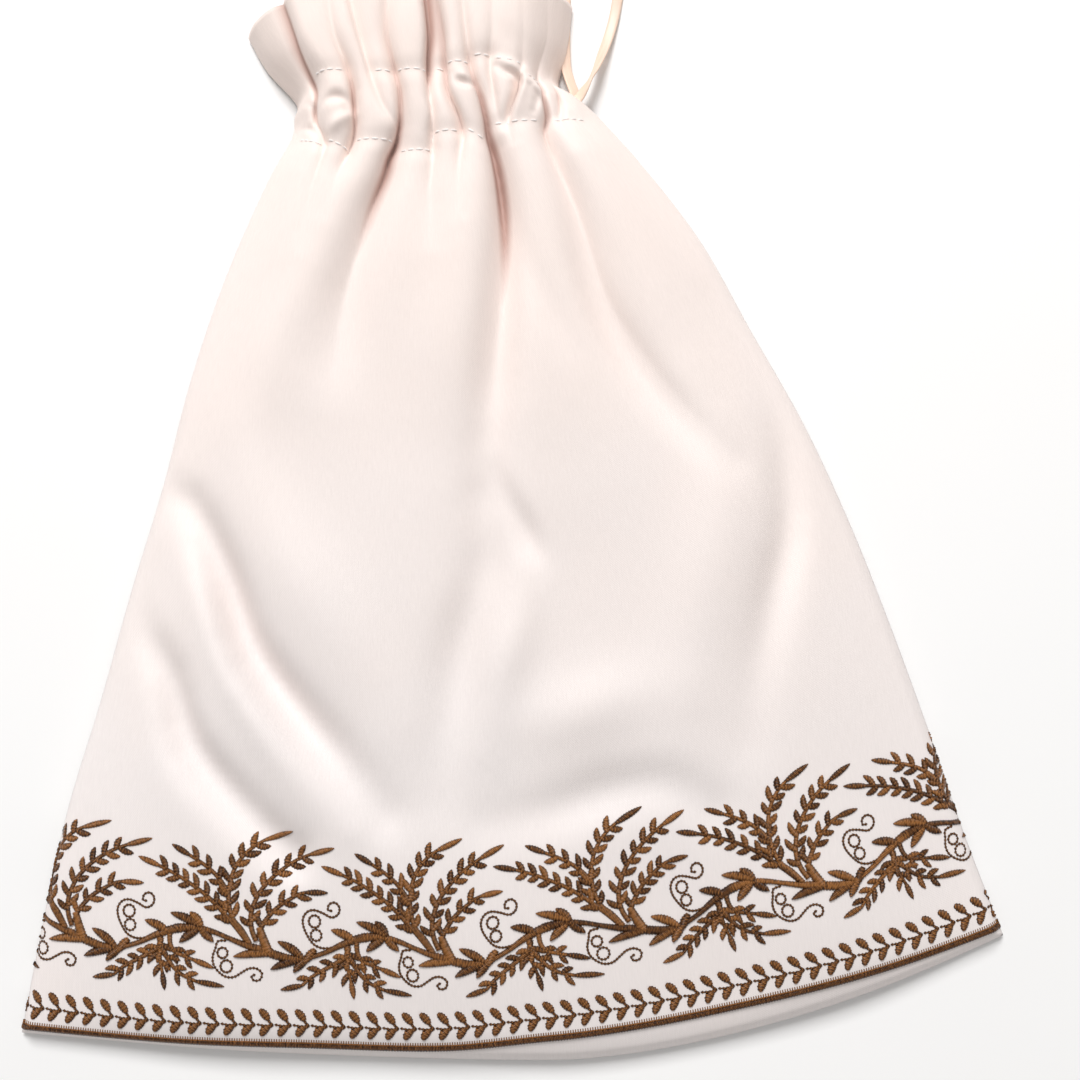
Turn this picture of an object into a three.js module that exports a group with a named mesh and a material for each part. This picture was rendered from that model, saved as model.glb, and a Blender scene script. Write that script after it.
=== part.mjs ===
// A reticule: a satin drawstring bag that lies empty on its back, mouth away from the viewer.
// Millimetres. +X runs across the bag, +Y from the bottom fold to the mouth, +Z up from the table.
import * as THREE from "three";

// Driving sizes
const hemWidth = 249.2;        // across the bottom corners
const neckWidth = 81.2;        // across the gathers at the lower stitch row
const casingTopWidth = 69.6;   // across the gathers at the upper stitch row
const mouthWidth = 86.1;       // across the heading's free edge
const bodyLength = 230.5;      // bottom fold to the lower stitch row, down the middle
const casingHeight = 19.5;     // lower to upper stitch row
const headingHeight = 24.5;    // upper stitch row to the free edge
const hemCurve = 31.1;         // how far the right bottom corner lies above the fold's lowest point
const neckLean = 23.1;         // how far the neck lies left of the bottom's middle
const clothWall = 1.4;         // outer cloth and facing together
const edgeTaper = 4;           // how far in from an edge the wall has its full depth in height
const seamGap = 0.3;           // between the two panels along a seam
const seamLift = 1.0;          // the underside of a side seam over the table
const backRoll = 16;           // how far in from a seam the back cloth curls up to it
const backHem = 4.5;           // how far in from the bottom fold it curls up
const hemPuff = 2.4;           // the rolled bottom fold's rise
const hemRoll = 9;             // how far in from the bottom edge that roll reaches
const bodyRise = 10.5;         // the front over its seams, in the body
const neckRise = 13.5;         // the same at the gathers
const foldHeight = 4;          // a full body fold
const foldWidth = 12;          // its half width
const gatherDepth = 4.4;       // a full pleat of the gathered neck
const gatherReach = 34;        // how far below the casing the pleats die out
const backGather = 3;          // a pleat of the neck's back, above the table
const stitchPinch = 1.1;       // how far a stitch row draws the cloth in
const stitchReach = 3.4;       // how wide that dent is
const ribbonWidth = 3;
const ribbonThickness = 1.1;
const strandGap = 0.4;         // between the ribbon's two strands, and round them in the casing's slit

// Mesh density: cells across and along
const frontColumns = 60;
const backColumns = 32;
const bodyRows = 21;
const casingRows = 4;
const headingRows = 5;
const rowCrowding = 0.09;      // how much closer the body's rows are at its two ends
const backCoarseness = 1.5;    // how much longer the back's cells are
const ribbonSteps = 46;

const table = (columns, lines) => lines.map(
  (line) => Object.fromEntries(columns.map((name, i) => [name, line[i]])),
);

// Rows of the outline, from the bottom fold to the mouth. share: how far up its zone. half: from
// 0, this zone's top width, to 1, its bottom width. lean: share of neckLean. left and right: how far
// the row's ends lie above its middle, share of hemCurve. lowest: where across the row is lowest.
// body and neck: shares of bodyRise and neckRise.
const rows = table(
  ["zone", "share", "half", "lean", "left", "right", "lowest", "body", "neck"],
  [
    ["body", 0.000, 1.000, 0.00, 0.22, 1.00, 0.54, 0.00, 0.00],
    ["body", 0.118, 0.915, 0.10, 0.25, 0.95, 0.53, 0.40, 0.00],
    ["body", 0.236, 0.829, 0.17, 0.27, 0.94, 0.52, 0.62, 0.00],
    ["body", 0.355, 0.727, 0.20, 0.28, 0.91, 0.51, 0.78, 0.00],
    ["body", 0.473, 0.624, 0.26, 0.30, 0.88, 0.50, 0.86, 0.02],
    ["body", 0.591, 0.509, 0.34, 0.31, 0.83, 0.49, 0.84, 0.10],
    ["body", 0.709, 0.389, 0.49, 0.32, 0.75, 0.48, 0.66, 0.32],
    ["body", 0.827, 0.257, 0.59, 0.33, 0.66, 0.46, 0.40, 0.62],
    ["body", 0.946, 0.090, 0.72, 0.30, 0.50, 0.43, 0.12, 0.92],
    ["casing", 0.0, 1.000, 0.79, 0.26, 0.41, 0.41, 0.00, 1.00],
    ["casing", 0.5, 0.460, 0.90, 0.10, 0.24, 0.40, 0.00, 1.06],
    ["heading", 0.0, 1.000, 1.00, -0.08, 0.05, 0.40, 0.00, 1.05],
    ["heading", 0.5, 0.400, 1.12, -0.19, -0.02, 0.50, 0.00, 1.06],
    ["heading", 1.0, 0.000, 1.20, -0.29, -0.02, 0.50, 0.00, 1.00],
  ],
);

// Pleats that the drawstring and the two stitch rows hold, from left to right. casing and mouth: where
// across the pleat ends at the stitch rows and at the free edge. height and flare: shares of
// gatherDepth in the casing and at the free edge.
const pleats = table(
  ["name", "casing", "mouth", "height", "flare"],
  [
    ["left turn", 0.110, 0.127, 0.55, 0.60],
    ["left panel", 0.222, 0.271, 1.00, 0.55],
    ["triangle", 0.385, 0.446, 0.95, 0.75],
    ["smooth middle", 0.480, 0.564, 0.80, 1.00],
    ["narrow", 0.567, 0.610, 0.65, 0.60],
    ["dented", 0.655, 0.690, 0.80, 0.80],
    ["loop", 0.755, 0.844, 0.75, 0.60],
    ["second loop", 0.855, 0.921, 0.75, 0.45],
    ["right turn", 1.000, 1.00, 0.55, 0.40],
  ],
);

// Folds of the body. path: points as shares [across, up the body]. start, middle and end: heights there
// as shares of foldHeight, below 0 for a valley. wide and wideEnd: shares of foldWidth at start and end.
const folds = table(
  ["name", "path", "start", "middle", "end", "wide", "wideEnd"],
  [
    ["far left ridge", [[0.115, 1], [0.11, 0.9], [0.14, 0.76], [0.155, 0.64]], 0.5, 0.4, 0, 0.35, 0.9],
    ["left hollow", [[0.19, 1], [0.165, 0.9], [0.17, 0.8], [0.19, 0.7]], -0.45, -0.35, 0, 0.35, 0.8],
    ["left ridge", [[0.29, 1], [0.245, 0.91], [0.21, 0.83], [0.19, 0.75]], 0.75, 0.7, 0.1, 0.4, 0.8],
    ["left valley", [[0.375, 1], [0.3, 0.94], [0.262, 0.83], [0.28, 0.69]], -0.8, -0.6, 0, 0.3, 0.7],
    ["mid crease", [[0.48, 1], [0.459, 0.92], [0.444, 0.84], [0.425, 0.76]], -0.55, -0.25, 0, 0.28, 0.6],
    ["mid ridge", [[0.565, 1], [0.545, 0.93], [0.51, 0.83], [0.46, 0.64]], 0.55, 0.6, 0, 0.4, 1.2],
    ["right gap", [[0.655, 1], [0.648, 0.93], [0.625, 0.86], [0.59, 0.76]], -1.1, -0.75, 0, 0.32, 0.7],
    ["right ridge", [[0.75, 1], [0.735, 0.92], [0.735, 0.81], [0.78, 0.62]], 0.7, 0.75, 0.1, 0.55, 1.3],
    ["right valley", [[0.845, 1], [0.812, 0.92], [0.81, 0.8], [0.89, 0.6]], -0.7, -0.45, -0.1, 0.3, 1],
    ["side roll", [[0.975, 0.66], [0.905, 0.5], [0.842, 0.43], [0.789, 0.32]], -0.1, -0.45, 0, 0.6, 0.9],
    ["long valley", [[0.06, 0.6], [0.15, 0.52], [0.23, 0.42], [0.36, 0.32]], -0.3, -0.75, -0.1, 0.5, 0.8],
    ["long ridge", [[0.11, 0.66], [0.215, 0.56], [0.31, 0.45], [0.42, 0.36]], 0.1, 0.55, 0.1, 0.9, 1.1],
    ["lower valley", [[0.11, 0.36], [0.17, 0.33], [0.225, 0.3], [0.27, 0.26]], 0, -0.45, 0, 0.5, 0.6],
    ["edge valley", [[0.015, 0.52], [0.037, 0.47], [0.06, 0.44], [0.09, 0.4]], 0, -0.35, 0, 0.4, 0.5],
    ["mid valley", [[0.535, 0.72], [0.498, 0.61], [0.48, 0.48], [0.427, 0.37]], 0, -0.4, 0, 0.8, 0.9],
    ["cross valley", [[0.558, 0.32], [0.633, 0.32], [0.693, 0.31], [0.76, 0.28]], 0, -0.45, 0, 0.6, 0.6],
  ],
);

// The drawstring's route: millimetres right of and above the casing's slit, and a share of the slit's
// height over the table. It goes out and up beside the heading, lies on the table, turns in one plain
// bend, and comes back close to the heading's edge to the same slit.
const ribbonRoute = [
  [-2.6, -1.6, 1], [0, 0, 1], [1.8, 2.6, 1.1], [3.2, 5.2, 1], [4.8, 8.4, 0.8], [6.4, 12.8, 0.45],
  [8.4, 18.6, 0.15], [10.0, 24.8, 0], [11.4, 34, 0], [12.4, 46, 0], [12.8, 60, 0], [12.4, 74, 0],
  [10.6, 85, 0], [6.2, 92.6, 0], [0.2, 95.0, 0], [-5.4, 91.6, 0], [-8.2, 83.6, 0],
  [-8.2, 72, 0], [-6.0, 60, 0], [-2.4, 49, 0], [0.6, 39, 0], [1.8, 30, 0.1], [1.4, 22, 0.25],
  [0.4, 15, 0.5], [-0.4, 9.4, 0.8], [-0.2, 5.0, 0.95], [-0.6, 1.4, 1], [-2.6, -1.8, 1],
];
const ribbonTurn = 14;         // the route's points up to here belong to the upper strand

const zoneStart = { body: 0, casing: bodyLength, heading: bodyLength + casingHeight };
const zoneLength = { body: bodyLength, casing: casingHeight, heading: headingHeight };
const fullLength = bodyLength + casingHeight + headingHeight;
const zoneWidths = {
  body: [hemWidth, neckWidth],
  casing: [neckWidth, casingTopWidth],
  heading: [casingTopWidth, mouthWidth],
};

// Each row's real place and size, worked out once from the table.
const sections = rows.map((row) => {
  const [bottomWidth, topWidth] = zoneWidths[row.zone];
  return {
    along: zoneStart[row.zone] + row.share * zoneLength[row.zone],
    halfWidth: (topWidth + (bottomWidth - topWidth) * row.half) / 2,
    centre: -row.lean * neckLean,
    leftLift: row.left * hemCurve,
    rightLift: row.right * hemCurve,
    lowest: row.lowest,
    rise: row.body * bodyRise + row.neck * neckRise,
  };
});

const clamp01 = (value) => Math.min(1, Math.max(0, value));
const smooth = (value) => clamp01(value) ** 2 * (3 - 2 * clamp01(value));
const quarterWave = (value) => Math.sin(clamp01(value) * Math.PI / 2);

// A smooth curve through the sections: the value of one column at a distance along the bag.
function column(name, along) {
  let i = 0;
  while (i < sections.length - 2 && along > sections[i + 1].along) i++;
  const slopeAt = (k) => {
    const before = sections[Math.max(0, k - 1)];
    const after = sections[Math.min(sections.length - 1, k + 1)];
    return (after[name] - before[name]) / (after.along - before.along);
  };
  const [a, b] = [sections[i], sections[i + 1]];
  const span = b.along - a.along;
  const t = clamp01((along - a.along) / span);
  const [t2, t3] = [t * t, t * t * t];
  return a[name] * (2 * t3 - 3 * t2 + 1) + b[name] * (3 * t2 - 2 * t3)
    + slopeAt(i) * span * (t3 - 2 * t2 + t) + slopeAt(i + 1) * span * (t3 - t2);
}

// Where a point of the cloth lies on the table: across from 0 to 1, along in millimetres.
const leftBend = 2;
const rightBend = 1.7;
function plan(across, along) {
  const halfWidth = column("halfWidth", along);
  const lowest = column("lowest", along);
  const x = column("centre", along) + (2 * across - 1) * halfWidth;
  const lift = across < lowest
    ? column("leftLift", along) * (1 - across / lowest) ** leftBend
    : column("rightLift", along) * ((across - lowest) / (1 - lowest)) ** rightBend;
  return [x, along + lift];
}

// Each fold as a smooth line on the table, with its height and width at every step.
const foldSteps = 14;
const foldLines = folds.map((fold) => {
  const corners = fold.path.map(([across, up]) => new THREE.Vector3(...plan(across, up * bodyLength), 0));
  const { start, middle, end, wide, wideEnd } = fold;
  return new THREE.CatmullRomCurve3(corners).getPoints(foldSteps).map((point, i) => {
    const t = i / foldSteps;
    const height = t < 0.5
      ? start + (middle - start) * smooth(2 * t)
      : middle + (end - middle) * smooth(2 * t - 1);
    return {
      x: point.x,
      y: point.y,
      height: height * foldHeight,
      width: (wide + (wideEnd - wide) * t) * foldWidth,
    };
  });
});

// The height that the body folds add at a place on the table.
function foldRelief(x, y) {
  let relief = 0;
  for (const line of foldLines) {
    let nearest = { distance: Infinity };
    for (let i = 0; i < line.length - 1; i++) {
      const [a, b] = [line[i], line[i + 1]];
      const [dx, dy] = [b.x - a.x, b.y - a.y];
      const t = clamp01(((x - a.x) * dx + (y - a.y) * dy) / (dx * dx + dy * dy));
      const distance = Math.hypot(x - a.x - t * dx, y - a.y - t * dy);
      if (distance < nearest.distance) {
        nearest = {
          distance,
          height: a.height + (b.height - a.height) * t,
          width: a.width + (b.width - a.width) * t,
        };
      }
    }
    relief += nearest.height * Math.exp(-((nearest.distance / nearest.width) ** 2));
  }
  return relief;
}

// The scalloped relief of the pleats, 0 in a tuck and up to 1 on a pleat's round top.
const tuckFloor = 0.02;        // keeps a tuck's bottom from closing to a knife edge
function pleatRelief(across, along) {
  const towardMouth = smooth((along - zoneStart.heading) / headingHeight);
  let left = 0;
  for (const pleat of pleats) {
    const right = pleat.casing + (pleat.mouth - pleat.casing) * towardMouth;
    if (across <= right || pleat === pleats[pleats.length - 1]) {
      const t = clamp01((across - left) / (right - left));
      const height = pleat.height + (pleat.flare - pleat.height) * towardMouth;
      return height * Math.sqrt(Math.sin(Math.PI * t) + tuckFloor);
    }
    left = right;
  }
  return 0;
}

// How strongly the gathers hold: full in the casing, dying out into the body below it.
const gatherHold = (along) => smooth(1 - (zoneStart.casing - along) / gatherReach);

const stitchDent = (along) => [zoneStart.casing, zoneStart.heading]
  .reduce((dent, row) => dent + stitchPinch * Math.exp(-(((along - row) / stitchReach) ** 2)), 0);

// Height of the front cloth's outer face.
const seamRoll = 0.17;         // share of a row's width over which the front climbs from its seam
const crown = 0.14;            // share of the rise that is left for the very middle
const slitStart = 0.93;        // where across the front lifts off the back for the ribbon
const slitLift = 2 * (ribbonThickness + strandGap);
function frontHeight(across, along) {
  const halfWidth = column("halfWidth", along);
  const fromSeam = Math.min(across, 1 - across) * 2 * halfWidth;
  const climb = quarterWave(fromSeam / (seamRoll * 2 * halfWidth));
  const dome = climb * (1 - crown * (2 * across - 1) ** 2);
  const [x, y] = plan(across, along);
  const hold = gatherHold(along);
  const pleat = (pleatRelief(across, along) - 0.5) * gatherDepth * hold;
  const fold = foldRelief(x, y) * (1 - hold) * smooth(along / (2 * hemRoll));
  const hem = hemPuff * quarterWave(along / hemRoll);
  const slit = slitLift * smooth((across - slitStart) / (1 - slitStart))
    * smooth(1 - Math.abs(along - zoneStart.casing - casingHeight / 2) / casingHeight);
  const seam = seamLift + 2 * clothWall + seamGap;
  return seam + slit + (column("rise", along) + hem) * dome + (pleat + fold - stitchDent(along)) * climb;
}

// Height of the back cloth's outer face: flat on the table, gathered at the neck, curled up to the seams.
const backPleats = 7;
function backHeight(across, along) {
  const fromSeam = Math.min(across, 1 - across) * 2 * column("halfWidth", along);
  const lie = quarterWave(fromSeam / backRoll) * quarterWave(along / backHem);
  const wave = Math.sin(Math.PI * backPleats * across) ** 2 * backGather * gatherHold(along);
  return seamLift * (1 - lie) + wave * lie;
}

// A cloth wall as one closed body: outer grid, inner grid and the four edges between them. The wall is
// measured square to the cloth, so it is deeper in height where the cloth is steep.
const steepest = 1.9;
const nudge = clothWall / 4;   // half the step over which a slope is measured
function clothShell(height, side, acrossCells, alongs) {
  const thickness = (across, along) => {
    const width = 2 * column("halfWidth", along);
    const slopeAcross = (height(Math.min(1, across + nudge / width), along)
      - height(Math.max(0, across - nudge / width), along)) / (2 * nudge);
    const slopeAlong = (height(across, Math.min(fullLength, along + nudge))
      - height(across, Math.max(0, along - nudge))) / (2 * nudge);
    const edge = smooth(Math.min(across, 1 - across) * width / edgeTaper) * smooth(along / edgeTaper);
    const steep = Math.min(steepest, Math.hypot(1, slopeAcross, slopeAlong));
    return clothWall * (1 + (steep - 1) * edge);
  };
  const positions = [];
  for (const layer of [0, 1]) {
    for (const along of alongs) {
      for (let i = 0; i <= acrossCells; i++) {
        const across = i / acrossCells;
        const [x, y] = plan(across, along);
        positions.push(x, y, height(across, along) - side * layer * thickness(across, along));
      }
    }
  }
  const stride = acrossCells + 1;
  const layerSize = stride * alongs.length;
  const faces = [];
  const quad = (a, b, c, d) => (side > 0 ? faces.push(a, b, c, a, c, d) : faces.push(a, c, b, a, d, c));
  for (let j = 0; j < alongs.length - 1; j++) {
    for (let i = 0; i < acrossCells; i++) {
      const at = j * stride + i;
      quad(at, at + 1, at + stride + 1, at + stride);
      const below = at + layerSize;
      quad(below, below + stride, below + stride + 1, below + 1);
    }
    const left = j * stride;
    quad(left, left + stride, left + stride + layerSize, left + layerSize);
    const right = left + acrossCells;
    quad(right, right + layerSize, right + stride + layerSize, right + stride);
  }
  const top = (alongs.length - 1) * stride;
  for (let i = 0; i < acrossCells; i++) {
    quad(i, i + layerSize, i + 1 + layerSize, i + 1);
    quad(top + i, top + i + 1, top + i + 1 + layerSize, top + i + layerSize);
  }
  const geometry = new THREE.BufferGeometry();
  geometry.setAttribute("position", new THREE.Float32BufferAttribute(positions, 3));
  geometry.setIndex(faces);
  geometry.computeVertexNormals();
  return geometry;
}

// Rows of cells: closer together at the bottom fold and towards the gathers.
function alongStations(coarse) {
  const body = Math.round(bodyRows / coarse);
  const casing = Math.round(casingRows / coarse);
  const heading = Math.round(headingRows / coarse);
  const stations = [];
  for (let i = 0; i < body; i++) {
    const t = i / body;
    stations.push(bodyLength * (t + rowCrowding * Math.sin(2 * Math.PI * t) * (t < 0.5 ? -1 : 1)));
  }
  for (let i = 0; i < casing; i++) stations.push(zoneStart.casing + casingHeight * i / casing);
  for (let i = 0; i <= heading; i++) stations.push(zoneStart.heading + headingHeight * i / heading);
  return stations;
}

// The drawstring: a flat ribbon with rounded edges, swept along its route.
function ribbon() {
  const [slitX, slitY] = plan(1, zoneStart.casing + casingHeight / 2);
  const slitMiddle = seamLift + clothWall + (seamGap + slitLift) / 2;
  const onTable = (ribbonThickness + strandGap) / 2;
  const points = ribbonRoute.map(([x, y, up], i) => {
    const strand = (i <= ribbonTurn ? 1 : -1) * (ribbonThickness + strandGap) / 2;
    return new THREE.Vector3(slitX + x, slitY + y, onTable + up * (slitMiddle + strand - onTable));
  });
  const section = new THREE.Shape();
  const sides = 8;
  for (let i = 0; i < sides; i++) {
    const angle = 2 * Math.PI * (i + 0.5) / sides;
    const [a, b] = [Math.cos(angle) * ribbonThickness / 2, Math.sin(angle) * ribbonWidth / 2];
    if (i === 0) section.moveTo(a, b);
    else section.lineTo(a, b);
  }
  section.closePath();
  return new THREE.ExtrudeGeometry(section, {
    steps: ribbonSteps,
    extrudePath: new THREE.CatmullRomCurve3(points, false, "centripetal"),
  });
}

const satin = new THREE.MeshStandardMaterial({ color: 0xf6e6de, roughness: 0.42, metalness: 0 });
const backSatin = new THREE.MeshStandardMaterial({ color: 0xf1dfd8, roughness: 0.45, metalness: 0 });
const ribbonSatin = new THREE.MeshStandardMaterial({ color: 0xf6d9c8, roughness: 0.4, metalness: 0 });

function piece(name, geometry, material) {
  const mesh = new THREE.Mesh(geometry, material);
  mesh.name = name;
  return mesh;
}

const reticule = new THREE.Group();
const front = clothShell(frontHeight, 1, frontColumns, alongStations(1));
const back = clothShell(backHeight, -1, backColumns, alongStations(backCoarseness));
reticule.add(piece("front_panel", front, satin));
reticule.add(piece("back_panel", back, backSatin));
reticule.add(piece("drawstring", ribbon(), ribbonSatin));

// The origin lies on the table, under the middle of the two panels.
const cloth = new THREE.Box3();
for (const mesh of reticule.children.slice(0, 2)) cloth.expandByObject(mesh);
const middle = cloth.getCenter(new THREE.Vector3());
reticule.position.set(-middle.x, -middle.y, -cloth.min.z);

export default reticule;
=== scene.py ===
# A reticule: a gathered satin drawstring bag with an embroidered border, lying on its back.
# Metres. +X runs across the bag, +Y from the bottom fold to the mouth, +Z up from the table.
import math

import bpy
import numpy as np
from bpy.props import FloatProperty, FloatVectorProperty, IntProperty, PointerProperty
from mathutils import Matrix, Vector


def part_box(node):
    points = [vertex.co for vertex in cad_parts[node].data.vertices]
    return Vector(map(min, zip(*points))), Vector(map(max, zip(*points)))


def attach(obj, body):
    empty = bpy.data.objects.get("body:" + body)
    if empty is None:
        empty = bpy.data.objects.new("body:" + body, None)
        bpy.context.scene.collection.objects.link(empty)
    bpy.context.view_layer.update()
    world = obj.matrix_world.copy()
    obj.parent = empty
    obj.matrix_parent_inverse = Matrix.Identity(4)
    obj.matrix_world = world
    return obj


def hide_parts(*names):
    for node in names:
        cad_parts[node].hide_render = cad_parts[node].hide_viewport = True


bl_info = {
    "name": "Drawstring Reticule",
    "version": (1, 0, 0),
    "blender": (4, 5, 0),
    "location": "View3D > Sidebar > Reticule",
    "description": "Dresses a gathered satin bag: two cloths, a fern border, stitches and a ribbon",
    "category": "Add Mesh",
}

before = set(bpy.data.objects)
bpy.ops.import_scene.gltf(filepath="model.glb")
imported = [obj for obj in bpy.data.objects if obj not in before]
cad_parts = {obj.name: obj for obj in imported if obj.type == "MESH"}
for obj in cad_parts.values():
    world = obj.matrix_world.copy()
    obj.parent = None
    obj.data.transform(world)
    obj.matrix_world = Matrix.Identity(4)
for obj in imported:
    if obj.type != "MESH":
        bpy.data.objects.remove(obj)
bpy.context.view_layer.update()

MM = 0.001
FRONT_LOW, FRONT_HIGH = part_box("front_panel")


def table(columns, lines):
    """Each line as a dict under the columns' names."""
    names = columns.split()
    return [dict(zip(names, line)) for line in lines]


# The bag's shape

# Rows of the outline, from the bottom fold to the mouth. share: how far up its zone. half: from 0,
# the zone's top width, to 1, its bottom width. lean: share of neck_lean. left and right: how far the
# row's ends lie above its middle, share of hem_curve. lowest: where across the row is lowest. body
# and neck: shares of body_rise and neck_rise.
ROWS = table("zone share half lean left right lowest body neck", [
    ("body", 0.000, 1.000, 0.00, 0.22, 1.00, 0.54, 0.00, 0.00),
    ("body", 0.118, 0.915, 0.10, 0.25, 0.95, 0.53, 0.40, 0.00),
    ("body", 0.236, 0.829, 0.17, 0.27, 0.94, 0.52, 0.62, 0.00),
    ("body", 0.355, 0.727, 0.20, 0.28, 0.91, 0.51, 0.78, 0.00),
    ("body", 0.473, 0.624, 0.26, 0.30, 0.88, 0.50, 0.86, 0.02),
    ("body", 0.591, 0.509, 0.34, 0.31, 0.83, 0.49, 0.84, 0.10),
    ("body", 0.709, 0.389, 0.49, 0.32, 0.75, 0.48, 0.66, 0.32),
    ("body", 0.827, 0.257, 0.59, 0.33, 0.66, 0.46, 0.40, 0.62),
    ("body", 0.946, 0.090, 0.72, 0.30, 0.50, 0.43, 0.12, 0.92),
    ("casing", 0.0, 1.000, 0.79, 0.26, 0.41, 0.41, 0.00, 1.00),
    ("casing", 0.5, 0.460, 0.90, 0.10, 0.24, 0.40, 0.00, 1.06),
    ("heading", 0.0, 1.000, 1.00, -0.08, 0.05, 0.40, 0.00, 1.05),
    ("heading", 0.5, 0.400, 1.12, -0.19, -0.02, 0.50, 0.00, 1.06),
    ("heading", 1.0, 0.000, 1.20, -0.29, -0.02, 0.50, 0.00, 1.00),
])

# Soft folds. path: points as [across, share of body_length]. start, middle and end: heights there as
# shares of fold_height, below 0 for a valley. wide and wide_end: shares of fold_width at its ends.
BODY_FOLDS = table("name path start middle end wide wide_end", [
    ("far left ridge", [(0.115, 1), (0.11, 0.9), (0.14, 0.76), (0.155, 0.64)], 0.3, 0.3, 0, 0.35, 0.9),
    ("left line", [(0.13, 0.964), (0.147, 0.875), (0.137, 0.807), (0.15, 0.74)], -0.3, -0.3, 0, 0.25, 0.5),
    ("left ridge", [(0.29, 1), (0.245, 0.91), (0.215, 0.83), (0.2, 0.74)], 0.5, 0.5, 0.1, 0.4, 0.8),
    ("left valley", [(0.356, 1.009), (0.314, 0.952), (0.282, 0.903), (0.266, 0.834), (0.268, 0.767),
                     (0.248, 0.7)], -0.9, -0.8, 0, 0.3, 0.7),
    ("mid crease", [(0.48, 1), (0.459, 0.92), (0.444, 0.84), (0.425, 0.76)], -0.4, -0.2, 0, 0.28, 0.6),
    ("mid ridge", [(0.565, 1), (0.545, 0.93), (0.5, 0.8), (0.45, 0.64)], 0.55, 0.5, 0.1, 0.4, 1.2),
    ("right gap", [(0.658, 0.985), (0.625, 0.905), (0.562, 0.768), (0.532, 0.685), (0.508, 0.611),
                   (0.49, 0.55)], -1.1, -0.9, -0.15, 0.3, 0.6),
    ("right ridge", [(0.735, 1), (0.70, 0.9), (0.655, 0.77), (0.62, 0.62)], 0.5, 0.4, 0.1, 0.4, 1.2),
    ("faint line", [(0.651, 0.907), (0.662, 0.846), (0.681, 0.775), (0.703, 0.717)],
     -0.15, -0.3, 0, 0.25, 0.35),
    ("right valley", [(0.81, 0.99), (0.78, 0.906), (0.76, 0.803), (0.793, 0.712), (0.835, 0.634),
                      (0.875, 0.584)], -0.9, -0.75, -0.15, 0.28, 0.4),
    ("right shoulder", [(0.9, 0.95), (0.88, 0.85), (0.88, 0.75), (0.92, 0.65)], 0.4, 0.35, 0.1, 0.6, 1.0),
    ("long valley", [(0.02, 0.588), (0.065, 0.575), (0.128, 0.515), (0.183, 0.434), (0.25, 0.374),
                     (0.318, 0.32), (0.37, 0.27)], -0.8, -1.4, -0.3, 0.35, 0.5),
    ("long ridge", [(0.1, 0.66), (0.159, 0.603), (0.227, 0.523), (0.306, 0.432), (0.372, 0.371)],
     0.1, 0.55, 0.15, 0.7, 1.0),
    ("lower left valley", [(0.005, 0.505), (0.03, 0.445), (0.082, 0.4), (0.13, 0.326), (0.208, 0.263),
                           (0.27, 0.22)], -0.4, -1.1, -0.6, 0.38, 0.45),
    ("ridge between", [(0.042, 0.536), (0.128, 0.459), (0.197, 0.381), (0.27, 0.301), (0.334, 0.252)],
     0.15, 0.45, 0.15, 0.4, 0.5),
    ("right edge valley", [(0.96, 0.76), (0.975, 0.68), (0.97, 0.61), (0.949, 0.564), (0.92, 0.499),
                           (0.876, 0.442), (0.835, 0.377), (0.8, 0.3)], -0.2, -0.65, -0.1, 0.35, 0.5),
    ("right roll", [(0.87, 0.68), (0.86, 0.6), (0.83, 0.53), (0.79, 0.46), (0.75, 0.39), (0.72, 0.32)],
     0.1, 0.4, 0.1, 0.7, 0.9),
    ("bottom band", [(0.49, 0.262), (0.565, 0.274), (0.64, 0.286), (0.7, 0.28), (0.742, 0.245)],
     -0.15, -0.4, -0.2, 0.5, 0.5),
    ("bottom swell", [(0.5, 0.36), (0.58, 0.37), (0.66, 0.38), (0.73, 0.37)], 0.1, 0.35, 0.1, 0.7, 0.7),
    ("mid valley", [(0.508, 0.611), (0.508, 0.557), (0.468, 0.47), (0.448, 0.373), (0.437, 0.287)],
     -0.2, -0.5, -0.1, 0.45, 0.6),
    ("mid line", [(0.53, 0.64), (0.546, 0.608), (0.567, 0.563), (0.583, 0.508)], -0.1, -0.35, 0, 0.22, 0.3),
    ("mid swell", [(0.56, 0.53), (0.543, 0.485), (0.51, 0.417), (0.488, 0.342)], 0.1, 0.35, 0.1, 0.4, 0.6),
])

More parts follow.
